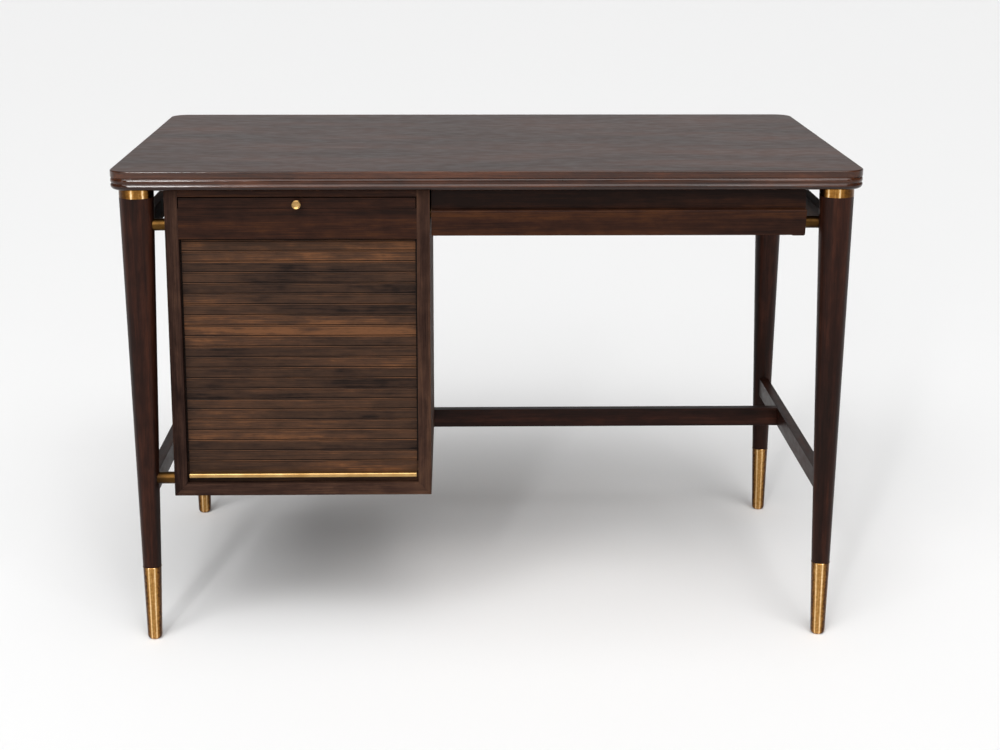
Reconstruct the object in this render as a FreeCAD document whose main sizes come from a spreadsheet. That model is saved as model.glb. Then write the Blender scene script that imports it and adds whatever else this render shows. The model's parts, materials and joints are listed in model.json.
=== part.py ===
import FreeCAD, Part
import math
import os
import Sketcher

# A tambour desk: a moulded top on four round legs, a pedestal closed by a tambour at the left,
# a pencil drawer at the right, and brass spacers that hold the case off the legs.
# Row frame: origin on the floor under the middle of the top, +X right, +Z up, front towards -Y.

doc = FreeCAD.newDocument("tambour_desk")
sheet = doc.addObject("Spreadsheet::Sheet", "Sizes")


# ---------------------------------------------------------------------------
# Sizes: each one is a cell of the sheet, and knows its formula and its value
# ---------------------------------------------------------------------------

class Size:
    """A length in millimetres: the formula that the document keeps, and its present value."""

    def __init__(self, formula, value):
        self.formula = formula
        self.value = value

    def __add__(self, other):
        other = as_size(other)
        return Size(f"({self.formula} + {other.formula})", self.value + other.value)

    def __sub__(self, other):
        other = as_size(other)
        return Size(f"({self.formula} - {other.formula})", self.value - other.value)

    def __mul__(self, other):
        other = as_size(other)
        return Size(f"({self.formula} * {other.formula})", self.value * other.value)

    def __truediv__(self, other):
        other = as_size(other)
        return Size(f"({self.formula} / {other.formula})", self.value / other.value)

    def __neg__(self):
        return Size(f"(-1 * {self.formula})", -self.value)


def as_size(amount):
    if isinstance(amount, Size):
        return amount
    return Size(f"({amount})", float(amount))


def root(size):
    return Size(f"sqrt({size.formula})", math.sqrt(size.value))


def cosine(angle):
    return Size(f"cos({angle.formula})", math.cos(math.radians(angle.value)))


def sine(angle):
    return Size(f"sin({angle.formula})", math.sin(math.radians(angle.value)))


def cell(alias, value, meaning):
    """Write one driving size into the sheet and return it."""
    row = cell.rows + 1
    cell.rows = row
    sheet.set(f"A{row}", alias.replace("_", " "))
    sheet.set(f"B{row}", str(value))
    sheet.set(f"C{row}", meaning)
    sheet.setAlias(f"B{row}", alias)
    return Size(f"Sizes.{alias}", float(value))


cell.rows = 0
ZERO = as_size(0)

# Whole desk
desk_width = cell("desk_width", 1143, "width of the top")
desk_depth = cell("desk_depth", 673, "depth of the top")
desk_height = cell("desk_height", 762, "floor to the top's upper face")

# Top
top_thickness = cell("top_thickness", 30, "thickness of the top")
top_corner_radius = cell("top_corner_radius", 30, "plan radius of the top's corners")
lipping_width = cell("lipping_width", 22, "width of the moulded lipping, seen from above")
arris_round = cell("arris_round", 2, "rounding of the lipping's upper edge")
upper_reed = cell("upper_reed", 12, "height of the uppermost reed")
middle_reed = cell("middle_reed", 8, "height of the middle reed")
reed_swell = cell("reed_swell", 1.4, "how far a reed swells past the quirks beside it")
underside_round = cell("underside_round", 7, "rounding of the lipping's lower edge")

# Legs
leg_inset = cell("leg_inset", 37, "leg axis to the edges of the top")
leg_top_radius = cell("leg_top_radius", 26.3, "radius of the wood under the collar")
leg_bottom_radius = cell("leg_bottom_radius", 14.5, "radius of the wood above the sabot")
collar_height = cell("collar_height", 14, "height of the brass collar")
spigot_radius = cell("spigot_radius", 11, "radius of the spigot through the collar")
spigot_socket = cell("spigot_socket", 12, "depth of the spigot in the top")
sabot_height = cell("sabot_height", 123, "height of the brass sabot")
sabot_foot_radius = cell("sabot_foot_radius", 11.3, "radius of the sabot at the floor")
sabot_foot_chamfer = cell("sabot_foot_chamfer", 2, "chamfer of the sabot's foot")
sabot_wall = cell("sabot_wall", 1.6, "wall of the sabot")
sabot_floor = cell("sabot_floor", 6, "solid foot of the sabot")

# Rails and stretchers
rail_width = cell("rail_width", 17, "width of rails and stretchers")
rail_height = cell("rail_height", 32, "height of rails and stretchers")
upper_rail_gap = cell("upper_rail_gap", 50, "underside of the top to the side rails")
stretcher_drop = cell("stretcher_drop", 12, "how far the stretchers hang below the pedestal")
tenon_thickness = cell("tenon_thickness", 8, "thickness of the stub tenons")
tenon_shoulder = cell("tenon_shoulder", 4, "shoulder above and below a tenon")
tenon_tip_gap = cell("tenon_tip_gap", 5, "leg axis to the tip of a tenon")
cross_tenon_length = cell("cross_tenon_length", 8, "tenon of the cross stretcher")
joint_gap = cell("joint_gap", 0.1, "glue gap round a tenon, spigot or stud")

# Brass spacers
spacer_radius = cell("spacer_radius", 9.5, "radius of the brass spacers")
spacer_stud_radius = cell("spacer_stud_radius", 4, "radius of a spacer's stud")
spacer_stud_length = cell("spacer_stud_length", 12, "stud in the side of the case")
spacer_drop = cell("spacer_drop", 57, "underside of the top to the upper front spacers")
spacer_lower_rise = cell("spacer_lower_rise", 24.5, "pedestal's underside to the lower spacer")
spacer_sink = cell("spacer_sink", 4, "least depth of a spacer's seat in a leg")
spacer_rail_seat = cell("spacer_rail_seat", 6, "depth of a rear spacer in its rail")
rear_spacer_inset = cell("rear_spacer_inset", 40, "case back to the rear spacers")
rear_spacer_drop = cell("rear_spacer_drop", 12, "top of the side rails to the rear spacers")

# Pedestal case
case_setback = cell("case_setback", 20, "top's front edge to the case front")
pedestal_inset = cell("pedestal_inset", 80.5, "top's left edge to the pedestal")
pedestal_width = cell("pedestal_width", 402, "outer width of the pedestal")
pedestal_height = cell("pedestal_height", 487, "height of the pedestal")
case_depth = cell("case_depth", 401.5, "case front to case back")
side_thickness = cell("side_thickness", 20, "thickness of the pedestal sides")
bottom_thickness = cell("bottom_thickness", 19.5, "thickness of the pedestal bottom")
case_top_thickness = cell("case_top_thickness", 12, "thickness of the pedestal top")
back_thickness = cell("back_thickness", 12, "thickness of the case backs")
front_rail_height = cell("front_rail_height", 47, "height of the rail over the tambour")

# Writing slide
slide_thickness = cell("slide_thickness", 16, "thickness of the writing slide")
slide_gap_above = cell("slide_gap_above", 1.6, "gap over the slide")
slide_gap_below = cell("slide_gap_below", 0.4, "gap under the slide")
slide_gap_side = cell("slide_gap_side", 1.5, "gap at each end of the slide")
slide_rear_gap = cell("slide_rear_gap", 39.5, "slide's rear edge to the pedestal back")
slide_edge_width = cell("slide_edge_width", 18, "width of the slide's solid front edge")
slide_runner_width = cell("slide_runner_width", 12, "width of the slide's runners")
slide_runner_height = cell("slide_runner_height", 9, "height of the slide's runners")
stop_pin_radius = cell("stop_pin_radius", 4, "radius of the slide's stop pins")
stop_pin_drop = cell("stop_pin_drop", 7, "how far a stop pin stands below the slide")
stop_pin_inset = cell("stop_pin_inset", 30, "slide's side to its stop pins")
stop_pin_depth = cell("stop_pin_depth", 10, "depth of a stop pin in the slide")
stop_pin_back = cell("stop_pin_back", 100, "slide's rear edge to its stop pins")
knob_radius = cell("knob_radius", 6.8, "radius of the slide's knob")
knob_reach = cell("knob_reach", 17, "how far the knob stands out")
knob_rim = cell("knob_rim", 4.5, "length of the knob's head")
knob_neck_radius = cell("knob_neck_radius", 3.2, "radius of the knob's neck")
knob_dish = cell("knob_dish", 1.2, "depth of the dish in the knob's face")
knob_stud_radius = cell("knob_stud_radius", 2, "radius of the knob's stud")
knob_stud_length = cell("knob_stud_length", 14, "length of the knob's stud")

# Tambour
tambour_recess = cell("tambour_recess", 12, "case front to the face of the slats")
rail_back_gap = cell("rail_back_gap", 0.5, "front rail's back to the face of the slats")
slat_count = cell("slat_count", 21, "whole slats in view")
top_slat_showing = cell("top_slat_showing", 6, "part of the next slat that shows")
slat_thickness = cell("slat_thickness", 8, "thickness of a slat")
slat_gap = cell("slat_gap", 0.4, "gap between slats")
slat_bead = cell("slat_bead", 2, "bead along a slat's lower edge")
slat_quirk = cell("slat_quirk", 0.9, "width of the quirk over the bead")
slat_quirk_depth = cell("slat_quirk_depth", 1.1, "depth of the quirk over the bead")
slat_end_gap = cell("slat_end_gap", 2.5, "shoulder of a slat to the pedestal side")
tongue_thickness = cell("tongue_thickness", 4.5, "thickness of a slat's tongue")
track_depth = cell("track_depth", 6.5, "depth of the track in a pedestal side")
track_clearance = cell("track_clearance", 0.8, "clearance round a tongue in the track")
track_bend_radius = cell("track_bend_radius", 30, "radius of the bend, to the middle of the track")
track_level_drop = cell("track_level_drop", 9, "slide runners to the level track's middle")
track_back_gap = cell("track_back_gap", 8, "end of the level track to the back")
canvas_thickness = cell("canvas_thickness", 0.8, "thickness of the canvas")
canvas_margin = cell("canvas_margin", 12, "canvas edge to a slat's shoulder")
lead_rail_height = cell("lead_rail_height", 31.5, "height of the lead rail")
lead_rail_thickness = cell("lead_rail_thickness", 12, "thickness of the lead rail")
lead_rail_gap = cell("lead_rail_gap", 0.3, "lead rail to the bottom when shut")
pull_height = cell("pull_height", 7, "height of the brass pull")
pull_reach = cell("pull_reach", 11, "how far the brass pull stands out")
pull_rise = cell("pull_rise", 8.5, "lead rail's lower edge to the pull")
pull_tongue = cell("pull_tongue", 4, "depth of the pull's tongue in the lead rail")
pull_tongue_height = cell("pull_tongue_height", 3, "height of the pull's tongue")
pull_end_gap = cell("pull_end_gap", 1, "slat shoulder line to the pull's ends")
pull_nose = cell("pull_nose", 2, "rounding of the pull's front edges")
pull_screw_radius = cell("pull_screw_radius", 1.5, "radius of the pull's screws")

# Shelf
shelf_height = cell("shelf_height", 160, "pedestal's inner bottom to the shelf")
shelf_thickness = cell("shelf_thickness", 15, "thickness of the shelf")
shelf_gap = cell("shelf_gap", 1, "gap at the shelf's ends and back")
shelf_front_gap = cell("shelf_front_gap", 10, "lead rail's back to the shelf")
shelf_pin_radius = cell("shelf_pin_radius", 3, "radius of a shelf pin")
shelf_pin_hole = cell("shelf_pin_hole", 8, "depth of a shelf pin in the side")
shelf_pin_reach = cell("shelf_pin_reach", 9, "how far a shelf pin stands out")
shelf_pin_inset = cell("shelf_pin_inset", 40, "shelf's edges to its pins")

# Pencil drawer
drawer_case_inset = cell("drawer_case_inset", 84.5, "top's right edge to the drawer case")
drawer_case_side = cell("drawer_case_side", 18, "thickness of the drawer case's end")
drawer_case_height = cell("drawer_case_height", 77, "height of the drawer case")
drawer_front_height = cell("drawer_front_height", 71, "height of the drawer front")
drawer_front_gap = cell("drawer_front_gap", 3, "gap over the drawer front")
drawer_front_end_gap = cell("drawer_front_end_gap", 2.3, "pedestal to the drawer front")
drawer_front_margin = cell("drawer_front_margin", 0.5, "case's outer face to the drawer front")
drawer_front_thickness = cell("drawer_front_thickness", 17, "thickness of the drawer front")
drawer_lip_height = cell("drawer_lip_height", 41, "height of the pull lip")
drawer_lip_lean = cell("drawer_lip_lean", 8, "how far the lip leans back at its foot")
drawer_lip_width = cell("drawer_lip_width", 4.5, "width of the lip's upper edge")
drawer_band_recess = cell("drawer_band_recess", 11, "lip's front to the band above it")
drawer_lip_round = cell("drawer_lip_round", 3, "rounding of the lip's front edge")
drawer_cove_depth = cell("drawer_cove_depth", 12, "depth of the finger cove behind the lip")
drawer_running_gap = cell("drawer_running_gap", 3, "drawer side to the case")
drawer_front_clearance = cell("drawer_front_clearance", 1, "drawer front's back to the case")
drawer_side_thickness = cell("drawer_side_thickness", 12, "thickness of the drawer sides")
drawer_side_height = cell("drawer_side_height", 50, "height of the drawer sides")
drawer_side_rise = cell("drawer_side_rise", 5, "drawer front's foot to the drawer sides")
drawer_rear_gap = cell("drawer_rear_gap", 22.5, "drawer to the case back")
drawer_bottom_thickness = cell("drawer_bottom_thickness", 5, "thickness of the drawer bottom")
drawer_bottom_rise = cell("drawer_bottom_rise", 4, "drawer side's foot to the drawer bottom")
drawer_groove = cell("drawer_groove", 5, "depth of the drawer bottom's grooves")
drawer_front_groove = cell("drawer_front_groove", 4, "depth of the groove in the drawer front")
runner_groove_height = cell("runner_groove_height", 12, "height of the runner's groove")
runner_groove_depth = cell("runner_groove_depth", 6, "depth of the runner's groove")
runner_groove_rise = cell("runner_groove_rise", 19, "drawer side's foot to the groove")
runner_clearance = cell("runner_clearance", 0.4, "clearance round a runner")
runner_stop = cell("runner_stop", 14, "drawer front's back to the runner's groove")

# Screws
screw_shank_radius = cell("screw_shank_radius", 2.2, "radius of a screw's shank")
screw_head_radius = cell("screw_head_radius", 4.4, "radius of a screw's head")
screw_head_height = cell("screw_head_height", 2.6, "height of a screw's countersunk head")
screw_grip = cell("screw_grip", 14, "how far a screw goes into the second piece")
screw_inset = cell("screw_inset", 45, "case edges to the screws")

doc.recompute()


# ---------------------------------------------------------------------------
# Helpers: each makes objects whose sizes stay bound to the sheet
# ---------------------------------------------------------------------------

NODES = []


def bind(item, prop, size):
    item.setExpression(prop, as_size(size).formula)


def node(item, label):
    """Give an object its sub-part name and list it for export."""
    item.Label = label
    NODES.append(item)
    return item


def place(item, x=ZERO, y=ZERO, z=ZERO):
    bind(item, "Placement.Base.x", x)
    bind(item, "Placement.Base.y", y)
    bind(item, "Placement.Base.z", z)
    return item


def box(name, low, high):
    """A Part::Box between two corners given as sizes."""
    item = doc.addObject("Part::Box", name)
    for prop, start, end in zip(("Length", "Width", "Height"), low, high):
        bind(item, prop, as_size(end) - start)
    return place(item, *low)


def rod(name, radius, low, length, axis):
    """A Part::Cylinder from the point low along X, Y or Z."""
    item = doc.addObject("Part::Cylinder", name)
    bind(item, "Radius", radius)
    bind(item, "Height", length)
    turns = {
        "X": FreeCAD.Rotation(FreeCAD.Vector(0, 1, 0), 90),
        "Y": FreeCAD.Rotation(FreeCAD.Vector(1, 0, 0), -90),
        "Z": FreeCAD.Rotation(),
    }
    item.Placement = FreeCAD.Placement(FreeCAD.Vector(0, 0, 0), turns[axis])
    return place(item, *low)


def cut(name, base, tool):
    item = doc.addObject("Part::Cut", name)
    item.Base = base
    item.Tool = tool
    return item


def fuse(name, pieces):
    item = doc.addObject("Part::MultiFuse", name)
    item.Shapes = pieces
    return item


def group(name, pieces):
    """Separate solids that share one node."""
    item = doc.addObject("Part::Compound", name)
    item.Links = pieces
    return item


def new_body(name):
    return doc.addObject("PartDesign::Body", name)


def sketch_on(body, role, name, offset=ZERO):
    """A sketch on one of the body's own origin planes, moved along the plane's normal."""
    sketch = body.newObject("Sketcher::SketchObject", name)
    plane = [item for item in body.Origin.OriginFeatures if item.Role == role][0]
    sketch.AttachmentSupport = (plane, [""])
    sketch.MapMode = "FlatFace"
    bind(sketch, "AttachmentOffset.Base.z", offset)
    return sketch


def hold(sketch, kind, *reference, size):
    """Add one dimension to a sketch and bind it to its size."""
    index = sketch.addConstraint(Sketcher.Constraint(kind, *reference, as_size(size).value))
    bind(sketch, f"Constraints[{index}]", size)


def hold_point(sketch, edge, end, point):
    hold(sketch, "DistanceX", -1, 1, edge, end, size=point[0])
    hold(sketch, "DistanceY", -1, 1, edge, end, size=point[1])


def draw(sketch, corners):
    """Draw a closed outline. A corner is (u, v), or (u, v, centre, turn) where an arc leaves it.

    The arc goes about the centre, to the left (anticlockwise) or to the right.
    """
    ends = []
    for index, corner in enumerate(corners):
        following = corners[(index + 1) % len(corners)]
        start = FreeCAD.Vector(as_size(corner[0]).value, as_size(corner[1]).value, 0)
        end = FreeCAD.Vector(as_size(following[0]).value, as_size(following[1]).value, 0)
        if len(corner) == 2:
            edge = sketch.addGeometry(Part.LineSegment(start, end), False)
            ends.append((edge, 1, 2))
            continue
        centre = FreeCAD.Vector(as_size(corner[2][0]).value, as_size(corner[2][1]).value, 0)
        left = corner[3] == "left"
        first, last = (start, end) if left else (end, start)
        circle = Part.Circle(centre, FreeCAD.Vector(0, 0, 1), (start - centre).Length)
        first_angle = math.atan2(first.y - centre.y, first.x - centre.x)
        last_angle = math.atan2(last.y - centre.y, last.x - centre.x)
        arc = Part.ArcOfCircle(circle, first_angle, last_angle)
        edge = sketch.addGeometry(arc, False)
        ends.append((edge, 1, 2) if left else (edge, 2, 1))
        upright = abs(end.y - start.y) >= abs(end.x - start.x)
        kind = "DistanceX" if upright else "DistanceY"
        hold(sketch, kind, -1, 1, edge, 3, size=corner[2][0 if upright else 1])
    for index, corner in enumerate(corners):
        edge, start_end, far_end = ends[index]
        next_edge, next_start, next_far = ends[(index + 1) % len(ends)]
        joint = Sketcher.Constraint("Coincident", edge, far_end, next_edge, next_start)
        sketch.addConstraint(joint)
        hold_point(sketch, edge, start_end, corner)


def rectangle(low, high):
    return [(low[0], low[1]), (high[0], low[1]), (high[0], high[1]), (low[0], high[1])]


def rounded_rectangle(half_width, half_depth, radius):
    """Corner list of a centred rectangle with round corners, starting on its front edge."""
    straight_x = half_width - radius
    straight_y = half_depth - radius
    return [
        (ZERO, -half_depth),
        (straight_x, -half_depth, (straight_x, -straight_y), "left"),
        (half_width, -straight_y),
        (half_width, straight_y, (straight_x, straight_y), "left"),
        (straight_x, half_depth),
        (-straight_x, half_depth, (-straight_x, straight_y), "left"),
        (-half_width, straight_y),
        (-half_width, -straight_y, (-straight_x, -straight_y), "left"),
        (-straight_x, -half_depth),
    ]


PLANES = {"X": ("YZ_Plane", 1), "Y": ("XZ_Plane", -1), "Z": ("XY_Plane", 1)}


def extrude(body, name, axis, start, length, corners, kind="PartDesign::Pad"):
    """Pad or pocket an outline along +axis, from start over length.

    The outline is given as (y, z) for axis X, (x, z) for axis Y and (x, y) for axis Z.
    """
    role, sense = PLANES[axis]
    sketch = sketch_on(body, role, name + "_sketch", as_size(start) * sense)
    draw(sketch, corners)
    feature = body.newObject(kind, name)
    feature.Profile = sketch
    bind(feature, "Length", length)
    pocket = kind == "PartDesign::Pocket"
    feature.Reversed = (sense < 0) != pocket
    body.Tip = feature
    return feature


def prism(label, axis, start, length, corners):
    body = new_body(label)
    extrude(body, label + "_pad", axis, start, length, corners)
    return body


def turned(label, corners, axis_name="V_Axis", role="XZ_Plane"):
    """A body turned about an axis of its sketch: the outline is (radius, height)."""
    body = new_body(label)
    sketch = sketch_on(body, role, label + "_profile")
    draw(sketch, corners)
    revolution = body.newObject("PartDesign::Revolution", label + "_turning")
    revolution.Profile = sketch
    revolution.ReferenceAxis = (sketch, [axis_name])
    revolution.Angle = 360
    body.Tip = revolution
    return body


# ---------------------------------------------------------------------------
# Places that several pieces share
# ---------------------------------------------------------------------------

half_width = desk_width / 2
half_depth = desk_depth / 2
underside = desk_height - top_thickness
leg_x = half_width - leg_inset
leg_y = half_depth - leg_inset
leg_shoulder = underside - collar_height

pedestal_bottom = underside - pedestal_height
stretcher_bottom = pedestal_bottom - stretcher_drop
upper_rail_top = underside - upper_rail_gap
upper_rail_bottom = upper_rail_top - rail_height

case_front = -half_depth + case_setback
case_back = case_front + case_depth
cross_stretcher_front = case_back
back_front = case_back - back_thickness
pedestal_left = -half_width + pedestal_inset
pedestal_right = pedestal_left + pedestal_width
pedestal_middle = (pedestal_left + pedestal_right) / 2
inner_left = pedestal_left + side_thickness
inner_right = pedestal_right - side_thickness
floor_of_case = pedestal_bottom + bottom_thickness

case_top_bottom = underside - case_top_thickness
slide_top = case_top_bottom - slide_gap_above
slide_bottom = slide_top - slide_thickness
front_rail_top = slide_bottom - slide_gap_below
front_rail_bottom = front_rail_top - front_rail_height
slat_face = case_front + tambour_recess
front_rail_back = slat_face - rail_back_gap
slide_runner_bottom = front_rail_top - slide_runner_height

track_y = slat_face + slat_thickness / 2
track_z = slide_runner_bottom - track_level_drop
bend_bottom = track_z - track_bend_radius
bend_centre_y = track_y + track_bend_radius
track_end = back_front - track_back_gap

drawer_case_outer = half_width - drawer_case_inset
drawer_case_inner = drawer_case_outer - drawer_case_side
drawer_case_bottom = underside - drawer_case_height
drawer_top = underside - drawer_front_gap
drawer_front_bottom = drawer_top - drawer_front_height
drawer_front_back = case_front + drawer_front_thickness
drawer_case_front = drawer_front_back + drawer_front_clearance


# ---------------------------------------------------------------------------
# Top: a core board inside a moulded lipping of three reeds
# ---------------------------------------------------------------------------

def lipping_profile():
    """Section of the lipping at the middle of the front edge, as (y, z)."""
    edge = -half_depth
    inside = edge + lipping_width
    quirk = edge + reed_swell
    upper_quirk = desk_height - upper_reed
    lower_quirk = upper_quirk - middle_reed
    turn_height = underside + underside_round
    half_swell = reed_swell / 2

    def bulge_centre(height):
        """Centre of an arc of that chord height which swells by reed_swell."""
        return quirk + height * height / (reed_swell * 8) - half_swell

    arris_height = desk_height - arris_round
    return [
        (inside, underside),
        (edge + underside_round, underside, (edge + underside_round, turn_height), "right"),
        (edge, turn_height),
        (quirk, lower_quirk, (bulge_centre(middle_reed), lower_quirk + middle_reed / 2), "right"),
        (quirk, upper_quirk),
        (edge, upper_quirk + reed_swell),
        (edge, arris_height, (edge + arris_round, arris_height), "right"),
        (edge + arris_round, desk_height),
        (inside, desk_height),
    ]


def make_top():
    lipping = new_body("top_edge_moulding")
    profile = sketch_on(lipping, "YZ_Plane", "lipping_profile")
    draw(profile, lipping_profile())
    path = sketch_on(lipping, "XY_Plane", "lipping_path", desk_height)
    draw(path, rounded_rectangle(half_width, half_depth, top_corner_radius))
    sweep = lipping.newObject("PartDesign::AdditivePipe", "lipping_sweep")
    sweep.Profile = profile
    sweep.Spine = path
    lipping.Tip = sweep
    node(lipping, "top_edge_moulding")

    board = new_body("tabletop")
    core_radius = top_corner_radius - lipping_width
    core = rounded_rectangle(half_width - lipping_width, half_depth - lipping_width, core_radius)
    extrude(board, "core_pad", "Z", underside, top_thickness, core)
    sockets = sketch_on(board, "XY_Plane", "socket_sketch", underside)
    for side_x in (-1, 1):
        for side_y in (-1, 1):
            draw_circle(sockets, leg_x * side_x, leg_y * side_y, spigot_radius + joint_gap)
    for x, y in top_screw_places():
        draw_circle(sockets, x, y, screw_shank_radius)
    pocket = board.newObject("PartDesign::Pocket", "socket_pocket")
    pocket.Profile = sockets
    bind(pocket, "Length", spigot_socket)
    pocket.Reversed = True
    board.Tip = pocket
    node(board, "tabletop")


def draw_circle(sketch, x, y, radius):
    centre = FreeCAD.Vector(as_size(x).value, as_size(y).value, 0)
    circle = Part.Circle(centre, FreeCAD.Vector(0, 0, 1), as_size(radius).value)
    edge = sketch.addGeometry(circle, False)
    hold(sketch, "Radius", edge, size=radius)
    hold_point(sketch, edge, 3, (x, y))


def top_screw_places():
    """Screws through the pedestal top into the tabletop."""
    left = inner_left + screw_inset
    right = inner_right - screw_inset
    front = case_front + screw_inset
    rear = back_front - screw_inset
    return [(left, front), (right, front), (left, rear), (right, rear)]


make_top()


# ---------------------------------------------------------------------------
# Legs with collars and sabots
# ---------------------------------------------------------------------------

SIDES = {"left": -1, "right": 1}
ENDS = {"front": -1, "rear": 1}
wood_slope = (leg_top_radius - leg_bottom_radius) / (leg_shoulder - sabot_height)
sabot_slope = (leg_bottom_radius - sabot_foot_radius) / sabot_height
core_bottom_radius = sabot_foot_radius + sabot_slope * sabot_floor - sabot_wall


def leg_radius(height):
    return leg_bottom_radius + wood_slope * (height - sabot_height)


def make_leg(side, end):
    name = f"{end}_{side}"
    toward_rail = -ENDS[end]
    place_of_leg = (leg_x * SIDES[side], leg_y * ENDS[end])
    tenon_core = leg_bottom_radius - sabot_wall

    wood = turned(f"leg_{name}_wood", [
        (ZERO, sabot_floor),
        (core_bottom_radius - joint_gap, sabot_floor),
        (tenon_core - joint_gap, sabot_height),
        (leg_bottom_radius, sabot_height),
        (leg_top_radius, leg_shoulder),
        (spigot_radius, leg_shoulder),
        (spigot_radius, underside + spigot_socket - joint_gap),
        (ZERO, underside + spigot_socket - joint_gap),
    ])
    place(wood, *place_of_leg)

    mortises = []
    for level, bottom in (("upper", upper_rail_bottom), ("lower", stretcher_bottom)):
        half_tenon = tenon_thickness / 2 + joint_gap
        near = tenon_tip_gap - joint_gap
        far = leg_top_radius * 2
        y_pair = (near, far) if toward_rail > 0 else (-far, -near)
        low = (-half_tenon, y_pair[0], bottom + tenon_shoulder - joint_gap)
        high = (half_tenon, y_pair[1], bottom + rail_height - tenon_shoulder + joint_gap)
        mortise = box(f"mortise_{level}_{name}", low, high)
        place(mortise, low[0] + place_of_leg[0], as_size(low[1]) + place_of_leg[1], low[2])
        mortises.append(mortise)
    for spacer_name, spacer_side, carrier, seat, y, height in spacer_plan():
        if carrier == "leg" and spacer_side == side and end == "front":
            low_x = seat - leg_top_radius if side == "right" else seat
            mortises.append(rod(f"{spacer_name}_sink", spacer_radius + joint_gap,
                                (low_x, y, height), leg_top_radius, "X"))
    node(cut(f"leg_{name}_cut", wood, fuse(f"leg_{name}_mortises", mortises)), f"leg_{name}")

    collar = turned(f"collar_{name}", [
        (spigot_radius + joint_gap, leg_shoulder),
        (leg_top_radius, leg_shoulder),
        (leg_top_radius, underside),
        (spigot_radius + joint_gap, underside),
    ])
    place(collar, *place_of_leg)
    node(collar, f"collar_{name}")

    foot = sabot_foot_radius
    sabot = turned(f"sabot_{name}", [
        (ZERO, ZERO),
        (foot - sabot_foot_chamfer, ZERO),
        (foot, sabot_foot_chamfer),
        (leg_bottom_radius, sabot_height),
        (tenon_core, sabot_height),
        (core_bottom_radius, sabot_floor),
        (ZERO, sabot_floor),
    ])
    place(sabot, *place_of_leg)
    node(sabot, f"sabot_{name}")


def leg_seat(side, y, height):
    """Where a spacer at y ends on X, so that its whole end is sunk into the front leg."""
    radius = leg_radius(height)
    reach = y + leg_y + spacer_radius
    chord = root(radius * radius - reach * reach)
    return (leg_x - chord + spacer_sink) * SIDES[side]


def spacer_plan():
    """Every spacer as (name, side, carrier, end on X, Y, height)."""
    rear_y = case_back - rear_spacer_inset
    rear_z = upper_rail_top - rear_spacer_drop
    left_y = -leg_y
    right_y = drawer_case_front + spacer_radius
    upper_z = underside - spacer_drop
    lower_z = pedestal_bottom + spacer_lower_rise
    rail_end = leg_x - rail_width / 2 + spacer_rail_seat
    return [
        ("spacer_left_front", "left", "leg", leg_seat("left", left_y, upper_z), left_y, upper_z),
        ("spacer_left_lower", "left", "leg", leg_seat("left", left_y, lower_z), left_y, lower_z),
        ("spacer_left_rear", "left", "rail", -rail_end, rear_y, rear_z),
        ("spacer_right_front", "right", "leg", leg_seat("right", right_y, upper_z), right_y,
         upper_z),
        ("spacer_right_rear", "right", "rail", rail_end, rear_y, rear_z),
    ]


for side_name in SIDES:
    for end_name in ENDS:
        make_leg(side_name, end_name)


# ---------------------------------------------------------------------------
# Side rails, side stretchers and the cross stretcher
# ---------------------------------------------------------------------------

def leg_envelope(name, side, end):
    """The cone of a leg's surface, for coping the end of a rail."""
    cone = doc.addObject("Part::Cone", name)
    bind(cone, "Radius1", leg_bottom_radius)
    bind(cone, "Radius2", leg_top_radius)
    bind(cone, "Height", leg_shoulder - sabot_height)
    return place(cone, leg_x * SIDES[side], leg_y * ENDS[end], sabot_height)


def make_side_rail(label, side, bottom, cuts=()):
    middle = leg_x * SIDES[side]
    blank = box(label + "_blank",
                (middle - rail_width / 2, -leg_y, bottom),
                (middle + rail_width / 2, leg_y, bottom + rail_height))
    cones = [leg_envelope(f"{label}_cope_{end}", side, end) for end in ENDS]
    coped = cut(label + "_coped", blank, fuse(label + "_copes", cones))
    tenon = box(label + "_tenon",
                (middle - tenon_thickness / 2, -leg_y + tenon_tip_gap, bottom + tenon_shoulder),
                (middle + tenon_thickness / 2, leg_y - tenon_tip_gap,
                 bottom + rail_height - tenon_shoulder))
    whole = fuse(label + "_whole", [coped, tenon])
    node(cut(label + "_cut", whole, cuts), label)


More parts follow.
